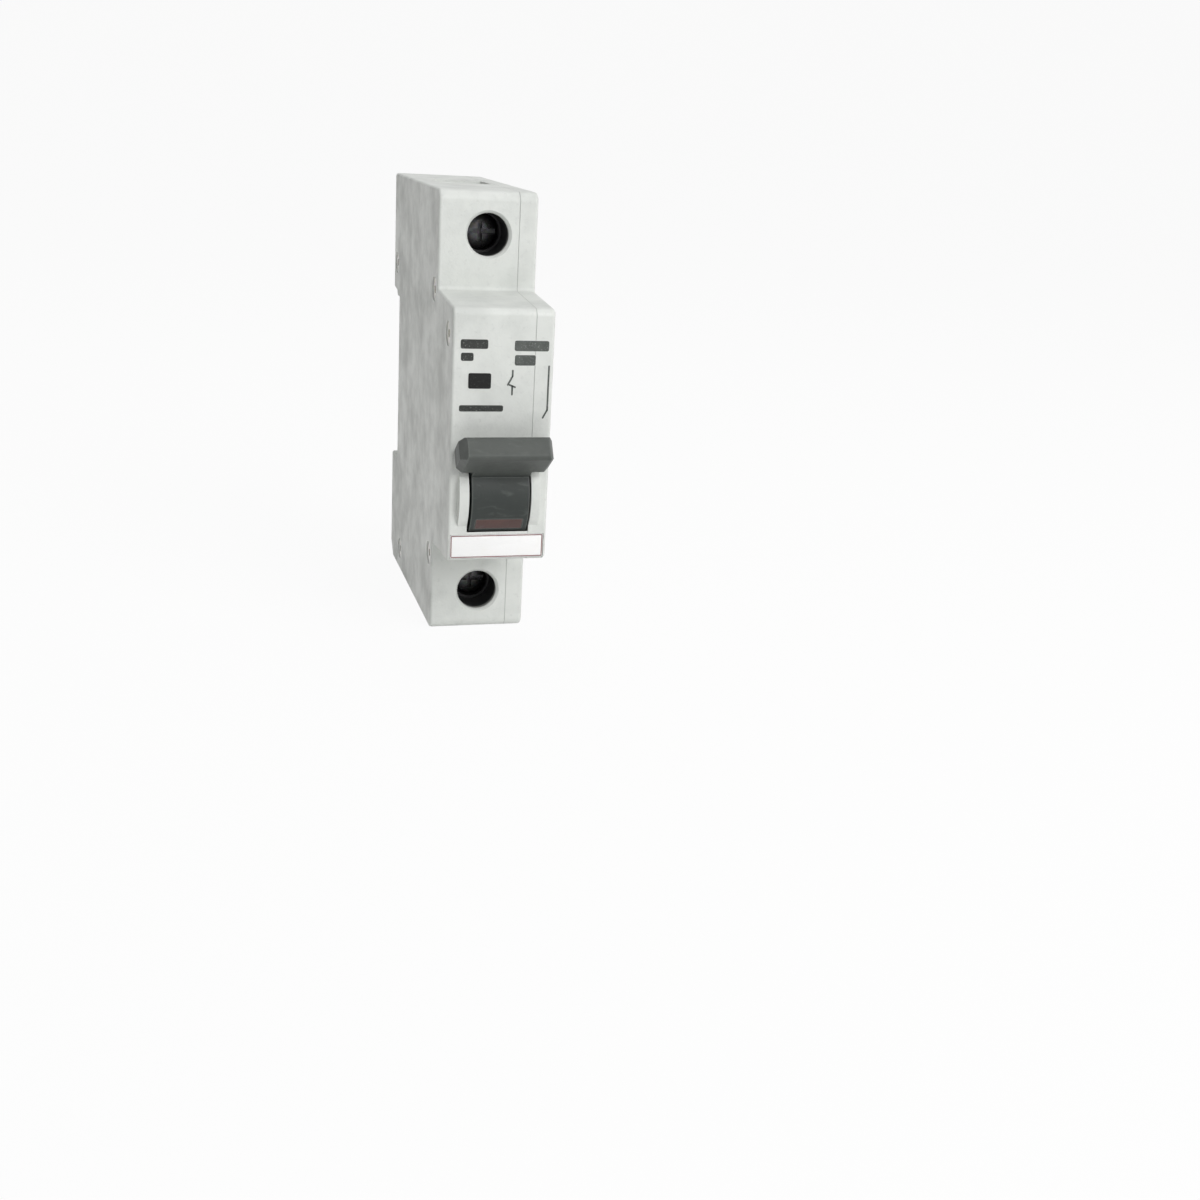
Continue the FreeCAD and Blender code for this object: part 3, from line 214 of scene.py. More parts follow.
# ------------------------------------------------------------ material nodes
class Finish:
    """A node material under construction, read in object coordinates."""

    def __init__(self, name):
        self.material = bpy.data.materials.new(name)
        self.material.use_nodes = True
        self.tree = self.material.node_tree
        self.shader = self.tree.nodes["Principled BSDF"]
        self.place = self.add("ShaderNodeTexCoord").outputs["Object"]

    def add(self, kind, inputs=None, **settings):
        node = self.tree.nodes.new(kind)
        for key, value in settings.items():
            setattr(node, key, value)
        for key, value in (inputs or {}).items():
            socket = node.inputs[key]
            if isinstance(value, bpy.types.NodeSocket):
                self.tree.links.new(value, socket)
            else:
                socket.default_value = value
        return node

    def set(self, **values):
        """Set or link inputs of the surface shader."""
        for key, value in values.items():
            socket = self.shader.inputs[key.replace("_", " ")]
            if isinstance(value, bpy.types.NodeSocket):
                self.tree.links.new(value, socket)
            else:
                socket.default_value = value

    def object_normal(self):
        """The true surface normal, in the piece's own axes."""
        normal = self.add("ShaderNodeNewGeometry").outputs["True Normal"]
        return self.add("ShaderNodeVectorTransform", {0: normal}, vector_type="NORMAL",
                        convert_from="WORLD", convert_to="OBJECT").outputs[0]

    def stretched(self, scale):
        """Object coordinates scaled per axis, for patterns that run one way."""
        return self.add("ShaderNodeMapping", {"Vector": self.place, "Scale": scale}).outputs[0]

    def noise(self, feature, detail=3.0, vector=None, distortion=0.0, roughness=0.5):
        """Noise whose patches are about one feature wide."""
        return self.add("ShaderNodeTexNoise",
                        {"Vector": vector or self.place, "Scale": 1.0 / feature,
                         "Detail": detail, "Roughness": roughness,
                         "Distortion": distortion}).outputs["Fac"]

    def spread(self, value, low, high, to_low=0.0, to_high=1.0):
        """Value carried linearly from one range to another, held at the ends."""
        return self.add("ShaderNodeMapRange",
                        {"Value": value, "From Min": low, "From Max": high,
                         "To Min": to_low, "To Max": to_high}).outputs["Result"]

    def calc(self, operation, first, second):
        """One arithmetic step; steps that take one value leave the second unused."""
        return self.add("ShaderNodeMath", {0: first, 1: second},
                        operation=operation).outputs[0]

    def mix(self, factor, first, second, blend="MIX"):
        node = self.add("ShaderNodeMix", data_type="RGBA", blend_type=blend)
        for index, value in ((0, factor), (6, first), (7, second)):
            socket = node.inputs[index]
            if isinstance(value, bpy.types.NodeSocket):
                self.tree.links.new(value, socket)
            elif index == 0:
                socket.default_value = value
            else:
                socket.default_value = (*value, 1.0)
        return node.outputs[2]

    def edges(self, radius):
        """1 within a radius of an edge, 0 on open faces."""
        rounded = self.add("ShaderNodeBevel", {"Radius": radius}, samples=6).outputs[0]
        plain = self.add("ShaderNodeNewGeometry").outputs["Normal"]
        same = self.add("ShaderNodeVectorMath", {0: rounded, 1: plain},
                        operation="DOT_PRODUCT").outputs["Value"]
        return self.spread(same, 0.995, 0.86)

    def bumps(self, layers):
        """Heights stacked into one normal: (height socket, depth in metres)."""
        normal = None
        for height, depth in layers:
            inputs = {"Height": height, "Distance": depth, "Strength": 1.0}
            if normal:
                inputs["Normal"] = normal
            normal = self.add("ShaderNodeBump", inputs).outputs[0]
        self.set(Normal=normal)


def tinted(colour, factor):
    """Colour made lighter or darker by a factor, no channel above 1."""
    return tuple(min(1.0, value * factor) for value in colour)


def moulded_case(sizes):
    """Light grey thermoset with sides painted darker as shade, worn edges, near black painted
    shade in the screw wells and a fine joint.
    """
    finish = Finish("moulded_case")
    patches = finish.noise(sizes.patch_size, 4.0, roughness=0.6)
    specks = finish.noise(sizes.patch_size / 7, 3.0, roughness=0.65)
    grain = finish.noise(sizes.grain_size, 2.0)
    # Painted shade: faces turned to either side are coloured a duller grey than the front and ends
    facing = finish.add("ShaderNodeSeparateXYZ", {0: finish.object_normal()}).outputs["X"]
    side = finish.spread(finish.calc("ABSOLUTE", facing, 0.0), 0.80, 0.96)
    front_tone = finish.mix(finish.spread(patches, 0.42, 0.68, 0.0, 0.55), sizes.colour,
                            sizes.shade)
    shaded_side_tone = finish.mix(finish.spread(patches, 0.36, 0.66), tinted(sizes.side_shade_colour, 1.09),
                           tinted(sizes.side_shade_colour, 0.84))
    tone = finish.mix(side, front_tone, shaded_side_tone)
    tone = finish.mix(finish.spread(specks, 0.58, 0.76, 0.0, 0.30), tone,
                      tinted(sizes.shade, 0.80))
    edge = finish.edges(sizes.edge_radius)
    worn = finish.calc("MULTIPLY", edge, finish.spread(specks, 0.35, 0.6, 0.15, 0.6))
    tone = finish.mix(worn, tone, tinted(sizes.colour, 1.16))
    spot = finish.add("ShaderNodeSeparateXYZ", {0: finish.place}).outputs
    off_seam = finish.calc("ABSOLUTE", finish.calc("SUBTRACT", spot["X"], COVER[0].x), 0.0)
    seam = finish.spread(off_seam, sizes.seam_width / 2, sizes.seam_width)
    tone = finish.mix(finish.spread(seam, 1.0, 0.0, 0.0, 0.55), tone,
                      tinted(sizes.shade, 0.62))
    # Painted shade: within each well's radius, from just below the mouth to past the screw's face,
    # the case is coloured near black for the shade in the recess
    well_z = (LINE_SCREW[0].z + LINE_SCREW[1].z) / 2
    from_axis = finish.calc("SUBTRACT", finish.calc("ABSOLUTE", spot["Z"], 0.0), well_z)
    reach = finish.calc("SQRT", finish.calc("ADD", finish.calc("MULTIPLY", spot["X"], spot["X"]),
                                          finish.calc("MULTIPLY", from_axis, from_axis)), 0.0)
    within = finish.spread(reach, sizes.well_radius + SOFT_EDGE, sizes.well_radius)
    sunk = finish.spread(spot["Y"], WELL_MOUTH + WELL_UNSHADED_RIM, WELL_MOUTH + WELL_FULL_SHADE)
    well_end = LINE_SCREW[0].y + WELL_SHADE_TAIL
    ahead = finish.spread(spot["Y"], well_end + SOFT_EDGE, well_end)
    sunk = finish.calc("MULTIPLY", sunk, ahead)
    tone = finish.mix(finish.calc("MULTIPLY", within, sunk), tone, sizes.well_shade_colour)
    rough = finish.spread(patches, 0.3, 0.7, sizes.roughness - 0.07, sizes.roughness + 0.12)
    finish.set(Base_Color=tone, Roughness=rough)
    finish.bumps([(patches, 0.00012), (grain, sizes.grain_depth), (seam, 0.00008)])
    return finish.material


def moulded_plastic(name, colour, roughness=0.42, grain=0.0003, dust=0.25):
    """Moulded plastic with soft blotches, dust in the grain and rubbed edges."""
    finish = Finish(name)
    blotches = finish.noise(0.004, 4.0, roughness=0.6)
    scuffs = finish.noise(0.0011, 3.0, finish.stretched((1.0, 1.0, 0.35)), distortion=0.6)
    fine = finish.noise(grain, 2.0)
    tone = finish.mix(finish.spread(blotches, 0.35, 0.7), tinted(colour, 0.84),
                      tinted(colour, 1.18))
    tone = finish.mix(finish.spread(scuffs, 0.6, 0.8, 0.0, dust), tone,
                      tuple(value * 0.6 + 0.14 for value in colour))
    tone = finish.mix(finish.calc("MULTIPLY", finish.edges(0.0004), 0.35), tone,
                      tuple(value * 0.8 + 0.12 for value in colour))
    finish.set(Base_Color=tone,
               Roughness=finish.spread(blotches, 0.3, 0.7, roughness - 0.07, roughness + 0.1))
    finish.bumps([(blotches, 0.00006), (fine, 0.00002)])
    return finish.material


def drawn_metal(name, colour, roughness, stain, lines=(1.0, 1.0, 14.0), spangle=0.0):
    """Metal with drawn lines, stains and brighter rubbed edges."""
    finish = Finish(name)
    drawn = finish.noise(0.0006, 3.0, finish.stretched(lines), roughness=0.6)
    marks = finish.noise(0.0025, 5.0, roughness=0.65, distortion=0.4)
    tone = finish.mix(finish.spread(marks, 0.42, 0.7, 0.0, 0.8), colour, stain)
    tone = finish.mix(finish.spread(drawn, 0.3, 0.7, 0.0, 0.35), tone, tinted(colour, 0.72))
    tone = finish.mix(finish.calc("MULTIPLY", finish.edges(0.00025), 0.6), tone,
                      tinted(colour, 1.3))
    if spangle:
        flakes = finish.add("ShaderNodeTexVoronoi",
                            {"Vector": finish.place, "Scale": 1.0 / spangle}).outputs["Color"]
        tone = finish.mix(0.12, tone, flakes, "SOFT_LIGHT")
    finish.set(Base_Color=tone, Metallic=1.0,
               Roughness=finish.spread(marks, 0.3, 0.75, roughness - 0.08, roughness + 0.16))
    finish.bumps([(drawn, 0.000012), (marks, 0.00002)])
    return finish.material


def braided_copper(colour):
    """Fine crossing strands of a bare copper braid."""
    finish = Finish("braided_copper")
    heights = []
    for turn in (0.7, -0.7):
        turned = finish.add("ShaderNodeMapping",
                            {"Vector": finish.place, "Rotation": (turn, turn, 0.0)}).outputs[0]
        heights.append(finish.add("ShaderNodeTexWave",
                                  {"Vector": turned, "Scale": 900.0, "Distortion": 0.4},
                                  bands_direction="Z").outputs["Fac"])
    strands = finish.calc("MAXIMUM", *heights)
    tarnish = finish.noise(0.002, 4.0)
    tone = finish.mix(finish.spread(tarnish, 0.4, 0.7), colour, tinted(colour, 0.55))
    tone = finish.mix(strands, tinted(colour, 0.25), tone)
    finish.set(Base_Color=tone, Metallic=1.0,
               Roughness=finish.spread(tarnish, 0.3, 0.7, 0.3, 0.5))
    finish.bumps([(strands, 0.00012)])
    return finish.material


def two_layer_strip(colour):
    """Bimetal: a brassy layer in front and a grey one behind, with heat tint."""
    finish = Finish("two_layer_strip")
    low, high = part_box("bimetal_strip")
    along = finish.add("ShaderNodeSeparateXYZ", {0: finish.place})
    layer = finish.spread(along.outputs["Y"], low.y + 0.0004, low.y + 0.00045)
    heat = finish.spread(along.outputs["Z"], low.z, high.z)
    marks = finish.noise(0.002, 4.0, finish.stretched((1.0, 1.0, 0.3)))
    tone = finish.mix(layer, tinted(colour, 1.15), (0.45, 0.45, 0.46))
    tone = finish.mix(finish.calc("MULTIPLY", heat, 0.45), tone, (0.34, 0.24, 0.30))
    tone = finish.mix(finish.spread(marks, 0.45, 0.75, 0.0, 0.5), tone, tinted(colour, 0.6))
    finish.set(Base_Color=tone, Metallic=1.0,
               Roughness=finish.spread(marks, 0.3, 0.7, 0.28, 0.48))
    finish.bumps([(marks, 0.00002)])
    return finish.material


def vulcanised_fibre():
    """Red-brown pressed fibre with short hairs."""
    finish = Finish("vulcanised_fibre")
    hairs = finish.noise(0.0005, 4.0, finish.stretched((1.0, 0.3, 4.0)), distortion=1.2)
    cloud = finish.noise(0.004, 3.0)
    tone = finish.mix(finish.spread(hairs, 0.35, 0.7), (0.30, 0.13, 0.075),
                      (0.44, 0.23, 0.13))
    tone = finish.mix(finish.spread(cloud, 0.4, 0.7, 0.0, 0.5), tone, (0.24, 0.10, 0.07))
    finish.set(Base_Color=tone, Roughness=finish.spread(hairs, 0.3, 0.7, 0.6, 0.8))
    finish.bumps([(hairs, 0.00005), (cloud, 0.00005)])
    return finish.material


def card_stock(colour):
    """White card with faint fibres and a slightly yellowed rim."""
    finish = Finish("card_stock")
    fibres = finish.noise(0.0003, 4.0, finish.stretched((0.4, 1.0, 1.6)), distortion=0.8)
    cloud = finish.noise(0.003, 3.0)
    tone = finish.mix(finish.spread(fibres, 0.4, 0.7, 0.0, 0.5), colour, tinted(colour, 0.96))
    tone = finish.mix(finish.spread(cloud, 0.5, 0.75, 0.0, 0.3), tone, (0.90, 0.89, 0.86))
    tone = finish.mix(finish.calc("MULTIPLY", finish.edges(0.0002), 0.3), tone,
                      (0.70, 0.66, 0.62))
    finish.set(Base_Color=tone, Roughness=finish.spread(fibres, 0.3, 0.7, 0.5, 0.66))
    finish.bumps([(fibres, 0.00001)])
    return finish.material


def pad_print(name, colour, wear=0.35):
    """Thin ink with pinholes where the moulding shows through."""
    finish = Finish(name)
    pinholes = finish.noise(0.00022, 3.0)
    cloud = finish.noise(0.0015, 3.0)
    tone = finish.mix(finish.spread(cloud, 0.4, 0.7, 0.0, 0.6), colour,
                      tinted(colour, 1.6))
    tone = finish.mix(finish.spread(pinholes, 0.62, 0.72, 0.0, wear), tone,
                      (0.55, 0.56, 0.55))
    finish.set(Base_Color=tone, Roughness=finish.spread(cloud, 0.3, 0.7, 0.55, 0.7),
               Specular_IOR_Level=0.25)
    finish.bumps([(pinholes, 0.00001)])
    return finish.material


def dress(node, material):
    """Give a carried-over node its finish."""
    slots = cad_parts[node].material_slots
    for slot in slots:
        slot.material = material
    if not slots:
        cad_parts[node].data.materials.append(material)


# ------------------------------------------------------------ mesh helpers
def new_piece(name, mesh, material, body, smooth=None):
    """Link a finished bmesh as a piece that rides on a body."""
    bmesh.ops.recalc_face_normals(mesh, faces=mesh.faces)
    data = bpy.data.meshes.new(name)
    mesh.to_mesh(data)
    mesh.free()
    data.materials.append(material)
    piece = bpy.data.objects.new(name, data)
    bpy.context.scene.collection.objects.link(piece)
    if smooth:
        for polygon in data.polygons:
            polygon.use_smooth = True
        data.set_sharp_from_angle(angle=smooth)
    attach(piece, body)
    return piece


def add_block(mesh, low, high):
    """Closed block between two corners; returns its vertices."""
    size = high - low
    made = bmesh.ops.create_cube(mesh, size=1.0)
    bmesh.ops.scale(mesh, vec=size, verts=made["verts"])
    bmesh.ops.translate(mesh, vec=(low + high) / 2, verts=made["verts"])
    return made["verts"]


def edges_along(verts, axis):
    """The edges of a block that run along one axis."""
    chosen = set(verts)
    found = []
    for edge in {e for v in verts for e in v.link_edges}:
        run = edge.verts[1].co - edge.verts[0].co
        if edge.verts[0] in chosen and abs(run[axis]) > 0.9 * run.length:
            found.append(edge)
    return found


def bevelled(mesh, edges, offset, segments=3):
    bmesh.ops.bevel(mesh, geom=edges, offset=offset, offset_type="OFFSET",
                    affect="EDGES", segments=segments, profile=0.5, material=-1)


# ------------------------------------------------------------ printed marks
NOSE_FRONT = CARD[0].y - 0.15 * MM
# left, right, low and high of each patch, in millimetres on the nose front
DARK_BARS = ((-7.6, -2.8, 15.6, 17.2), (-7.5, -5.3, 13.5, 14.9), (-7.6, 0.2, 4.7, 5.8))
PALE_BARS = ((1.9, 8.0, 15.3, 17.1), (2.0, 5.7, 12.8, 14.6))
BLOCKS = ((-6.1, -2.1, 8.7, 11.4),)
# start and end of each stroke, in the same millimetres; the last two strokes draw a grey line down
# the nose's right edge as a painted shadow line
SYMBOL_AND_EDGE_SHADE = (((1.7, 11.9), (1.7, 10.9)), ((1.7, 10.9), (0.9, 9.4)), ((1.7, 9.2), (1.7, 7.7)),
          ((1.2, 9.4), (2.2, 9.0)), ((8.15, 12.7), (8.15, 5.0)), ((8.15, 5.0), (7.4, 3.6)))


def ink_patch(mesh, left, right, low, high, height):
    """One printed rectangle with rounded corners."""
    verts = add_block(mesh, Vector((left * MM, NOSE_FRONT - height, low * MM)),
                      Vector((right * MM, NOSE_FRONT + INK_SINK, high * MM)))
    bevelled(mesh, edges_along(verts, 1), INK_CORNER)


def ink_stroke(mesh, start, end, width, height):
    """One straight stroke between two points of the nose front."""
    first = Vector((start[0] * MM, 0.0, start[1] * MM))
    last = Vector((end[0] * MM, 0.0, end[1] * MM))
    run = last - first
    half = Vector((width / 2, 0.0, run.length / 2 + width / 2))
    verts = add_block(mesh, Vector((-half.x, NOSE_FRONT - height, -half.z)),
                      Vector((half.x, NOSE_FRONT + INK_SINK, half.z)))
    turn = Matrix.Rotation(math.atan2(run.x, run.z), 4, "Y")
    bmesh.ops.transform(mesh, matrix=Matrix.Translation((first + last) / 2) @ turn, verts=verts)
    bevelled(mesh, edges_along(verts, 1), width * 0.45, 2)


class BREAKER_OT_print(bpy.types.Operator):
    """Generic printed bars, block and switch symbol on the nose, and a grey painted shadow line
    down its right edge
    """
    bl_idname = "breaker.print_marks"
    bl_label = "Printed marks"

    def execute(self, context):
        sizes = context.scene.breaker_print
        dark = pad_print("dark_print", sizes.ink_colour)
        black = pad_print("block_print", sizes.block_colour, 0.1)
        pale = pad_print("pale_print", sizes.soft_ink_colour, 0.4)
        for name, patches, ink in (("print_bars_dark", DARK_BARS, dark),
                                   ("print_bars_pale", PALE_BARS, pale),
                                   ("print_block", BLOCKS, black)):
            mesh = bmesh.new()
            for patch in patches:
                ink_patch(mesh, *patch, sizes.ink_height)
            new_piece(name, mesh, ink, "case")
        mesh = bmesh.new()
        for start, end in SYMBOL_AND_EDGE_SHADE:
            ink_stroke(mesh, start, end, sizes.line_width, sizes.ink_height)
        new_piece("print_symbol_and_edge_shade", mesh, pale, "case")
        return {"FINISHED"}


# ------------------------------------------------------------ pieces
class BREAKER_OT_case(bpy.types.Operator):
    """Moulded finish of the two shells and the rivets in them"""
    bl_idname = "breaker.case_finish"
    bl_label = "Case"

    def execute(self, context):
        material = moulded_case(context.scene.breaker_case)
        metals = context.scene.breaker_metal
        dress("housing_base", material)
        dress("housing_cover", material)
        dress("housing_rivets", drawn_metal("rivet_steel", metals.zinc, 0.38,
                                            (0.40, 0.38, 0.34), spangle=0.0006))
        dress("vent_baffle", vulcanised_fibre())
        return {"FINISHED"}


class BREAKER_OT_handle(bpy.types.Operator):
    """Toggle and its two inlays"""
    bl_idname = "breaker.handle_finish"
    bl_label = "Toggle"

    def execute(self, context):
        sizes = context.scene.breaker_handle
        finish = Finish("toggle_plastic")
        place = finish.add("ShaderNodeSeparateXYZ", {0: finish.place}).outputs
        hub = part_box("handle_pin")
        centre = (hub[0] + hub[1]) / 2
        forward = finish.calc("SUBTRACT", place["Y"], centre.y)
        upward = finish.calc("SUBTRACT", place["Z"], centre.z)
        reach = finish.calc("SQRT", finish.calc("ADD", finish.calc("MULTIPLY", forward, forward),
                                              finish.calc("MULTIPLY", upward, upward)), 0.0)
        blotches = finish.noise(0.004, 4.0, roughness=0.6)
        scuffs = finish.noise(0.0009, 3.0, finish.stretched((0.3, 1.0, 1.0)), distortion=0.5)
        grain = finish.noise(0.0003, 2.0)
        # Painted shade: the toggle darkens towards the hub's axis
        tone = finish.mix(finish.spread(reach, *HUB_SHADE_ZONE), sizes.hub_shade_colour, sizes.colour)
        tone = finish.mix(finish.spread(blotches, 0.35, 0.7, 0.0, 0.35), tone,
                          tinted(sizes.colour, 0.6))
        tone = finish.mix(finish.spread(scuffs, 0.58, 0.8, 0.0, 0.3), tone,
                          tinted(sizes.colour, 1.9))
        tone = finish.mix(finish.calc("MULTIPLY", finish.edges(0.0005), 0.5), tone,
                          tinted(sizes.colour, 2.1))
        finish.set(Base_Color=tone, Roughness=finish.spread(blotches, 0.3, 0.7, 0.42, 0.58),
                   Specular_IOR_Level=0.35)
        finish.bumps([(blotches, 0.00008), (grain, 0.00002)])
        dress("handle", finish.material)
        # The on inlay is partly its own red and partly painted shade
        dress("handle_on_mark", moulded_plastic("on_inlay", sizes.on_colour, 0.4, dust=0.15))
        dress("handle_off_mark", moulded_plastic("off_inlay", sizes.off_colour, 0.4, dust=0.15))
        return {"FINISHED"}


class BREAKER_OT_label(bpy.types.Operator):
    """Blank label card with its thin printed frame"""
    bl_idname = "breaker.label_card"
    bl_label = "Label card"

    def execute(self, context):
        sizes = context.scene.breaker_label
        low, high = CARD
        mesh = bmesh.new()
        verts = add_block(mesh, low, high)
        bevelled(mesh, edges_along(verts, 1), sizes.corner_radius, 4)
        front = [f for f in mesh.faces if f.normal.y < -0.9]
        rim = {e for f in front for e in f.edges}
        bevelled(mesh, list(rim), LABEL_RIM, 2)
        card = new_piece("label_face", mesh, card_stock(sizes.colour), "case",
                         math.radians(35))
        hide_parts("label_card")
        mesh = bmesh.new()
        verts = add_block(mesh, Vector((low.x + FRAME_INSET, low.y - FRAME_INK,
                                        low.z + FRAME_INSET)),
                          Vector((high.x - FRAME_INSET, low.y + FRAME_INK,
                                  high.z - FRAME_INSET)))
        bevelled(mesh, edges_along(verts, 1), sizes.corner_radius - FRAME_INSET, 4)
        faces = [f for f in mesh.faces if abs(f.normal.y) > 0.9]
        bmesh.ops.inset_individual(mesh, faces=faces, thickness=sizes.frame_width)
        loops = [f for f in mesh.faces if abs(f.normal.y) > 0.9 and
                 all(abs(abs(v.co.x) - high.x) > FRAME_INSET * 1.5 for v in f.verts)]
        openings = sorted(loops, key=lambda f: -f.calc_area())[:2]
        borders = [list(face.edges) for face in openings]
        bmesh.ops.delete(mesh, geom=openings, context="FACES_ONLY")
        bmesh.ops.bridge_loops(mesh, edges=borders[0] + borders[1])
        # The frame is printed red and partly painted shadow
        new_piece("label_frame", mesh, pad_print("frame_print", sizes.frame_and_shadow_colour, 0.2),
                  "case")
        return {"FINISHED"}


def screw_piece(name, box, body, node, sizes, material):
    """Slotted screw with a low dome, chamfered rim and grooved shank."""
    low, high = box
    centre = (low + high) / 2
    head = (high.x - low.x) / 2
    face = low.y
    shank = SHANK_RADIUS
    under = face + HEAD_HEIGHT
    profile = [(0.0, face), (head * 0.5, face + sizes.dome * 0.25),
               (head * 0.86, face + sizes.dome), (head, face + sizes.dome + 0.00025),
               (head, under - 0.0001), (head - 0.0001, under), (shank - 0.0002, under)]
    place = under + sizes.thread_pitch
    while place + sizes.thread_pitch < high.y:
        profile += [(shank - 0.0003, place), (shank, place + sizes.thread_pitch / 2)]
        place += sizes.thread_pitch
    profile += [(shank - 0.0004, high.y - 0.0001), (shank * 0.6, high.y), (0.0, high.y)]
    mesh = bmesh.new()
    verts = [mesh.verts.new((radius, depth, 0.0)) for radius, depth in profile]
    chain = [mesh.edges.new(pair) for pair in zip(verts, verts[1:])]
    bmesh.ops.spin(mesh, geom=verts + chain, cent=(0, 0, 0), axis=(0, 1, 0),
                   angle=math.tau, steps=sizes.segments, use_merge=True)
    bmesh.ops.remove_doubles(mesh, verts=mesh.verts, dist=1e-6)
    bmesh.ops.translate(mesh, vec=(centre.x, 0.0, centre.z), verts=mesh.verts)
    piece = new_piece(name, mesh, material, body, math.radians(30))
    cutter = bmesh.new()
    half = sizes.slot_width / 2
    for wide, tall, deep in ((head * 1.2, half, 1.0), (half, head * 0.62, 1.4)):
        add_block(cutter, Vector((centre.x - wide, face - 0.001, centre.z - tall)),
                  Vector((centre.x + wide, face + sizes.slot_depth * deep, centre.z + tall)))
    data = bpy.data.meshes.new(name + "_slots")
    cutter.to_mesh(data)
    cutter.free()
    tool = bpy.data.objects.new(name + "_slots", data)
    bpy.context.scene.collection.objects.link(tool)
    cut = piece.modifiers.new("driver_slots", "BOOLEAN")
    cut.operation = "DIFFERENCE"
    cut.solver = "EXACT"
    cut.use_self = True
    cut.object = tool
    bpy.context.view_layer.update()
    graph = bpy.context.evaluated_depsgraph_get()
    made = bpy.data.meshes.new_from_object(piece.evaluated_get(graph))
    piece.modifiers.clear()
    piece.data = made
    bpy.data.objects.remove(tool)
    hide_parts(node)


class BREAKER_OT_screws(bpy.types.Operator):
    """The two terminal screws with slotted, domed heads"""
    bl_idname = "breaker.terminal_screws"
    bl_label = "Terminal screws"

    def execute(self, context):
        sizes = context.scene.breaker_screw
        metals = context.scene.breaker_metal
        # Painted shade: near black screw metal stands for the shade down in the wells
        material = drawn_metal("screw_plate", metals.shaded_screw_colour, 0.30,
                               tinted(metals.shaded_screw_colour, 0.5), spangle=0.0005)
        screw_piece("line_screw_turned", LINE_SCREW, "line_screw", "line_terminal_screw",
                    sizes, material)
        screw_piece("load_screw_turned", LOAD_SCREW, "load_screw", "load_terminal_screw",
                    sizes, material)
        return {"FINISHED"}


class BREAKER_OT_terminals(bpy.types.Operator):
    """Clamp cages, plates and straps"""
    bl_idname = "breaker.terminal_metal"
    bl_label = "Terminals"

    def execute(self, context):
        metals = context.scene.breaker_metal
        zinc = drawn_metal("cage_plate", metals.zinc, 0.36, (0.42, 0.40, 0.33),
                           (1.0, 8.0, 1.0), 0.0008)
        copper = drawn_metal("strap_copper", metals.copper, 0.3, (0.42, 0.20, 0.14))
        for node in ("line_clamp_cage", "load_clamp_cage", "calibration_screw"):
            dress(node, zinc)
        for node in ("line_terminal_plate", "load_terminal_plate", "load_strap",
                     "fixed_contact_bar", "contact_arm", "upper_arc_runner"):
            dress(node, copper)
        return {"FINISHED"}


class BREAKER_OT_works(bpy.types.Operator):
    """Contacts, trip unit, arc chute and springs"""
    bl_idname = "breaker.works_finish"
    bl_label = "Works"

    def execute(self, context):
        metals = context.scene.breaker_metal
        steel = drawn_metal("plain_steel", metals.steel, 0.38, (0.27, 0.25, 0.23))
        spring = drawn_metal("spring_wire", metals.spring, 0.3, (0.20, 0.20, 0.21))
        silver = drawn_metal("contact_silver", metals.silver, 0.34, (0.50, 0.48, 0.44))
        lacquer = drawn_metal("lacquered_winding", tinted(metals.copper, 0.8), 0.25,
                              (0.38, 0.15, 0.08))
        lacquer.node_tree.nodes["Principled BSDF"].inputs["Coat Weight"].default_value = 0.7
        black = moulded_plastic("black_moulding", (0.035, 0.036, 0.04), 0.4)
        cream = moulded_plastic("glass_filled_bobbin", (0.50, 0.46, 0.35), 0.5, 0.0005)
        fibre = bpy.data.materials["vulcanised_fibre"]
        finishes = {
            "handle_pin": steel, "carrier_pin": steel, "trip_lever_pin": steel,
            "coil_yoke": steel, "coil_core": steel, "plunger": steel, "striker_pin": steel,
            "bimetal_support": steel, "arc_splitter_plates": steel,
            "lower_arc_runner": steel, "handle_spring": spring, "contact_spring": spring,
            "trip_spring": spring, "plunger_spring": spring, "drive_link": spring,
            "din_clip_spring": spring, "fixed_contact_tip": silver,
            "moving_contact_tip": silver, "coil_winding": lacquer,
            "contact_carrier": black, "trip_lever": black, "coil_bobbin": cream,
            "arc_chute_sides": fibre,
            "flexible_braid": braided_copper(metals.copper),
            "bimetal_strip": two_layer_strip(metals.bimetal),
        }
        for node, material in finishes.items():
            dress(node, material)
        return {"FINISHED"}


class BREAKER_OT_clip(bpy.types.Operator):
    """Sprung rail clip"""
    bl_idname = "breaker.rail_clip"
    bl_label = "Rail clip"

    def execute(self, context):
        dress("din_clip", moulded_plastic("clip_moulding", (0.52, 0.53, 0.51), 0.45))
        return {"FINISHED"}


def seen_rays(tree):
    """1 for rays that show the surroundings to the view, 0 for those that only light."""
    rays = tree.nodes.new("ShaderNodeLightPath").outputs
    seen = rays["Is Camera Ray"]
    for name in ("Is Glossy Ray", "Is Transmission Ray"):
        join = tree.nodes.new("ShaderNodeMath")
        join.operation = "MAXIMUM"
        tree.links.new(seen, join.inputs[0])
        tree.links.new(rays[name], join.inputs[1])
        seen = join.outputs[0]
    return seen


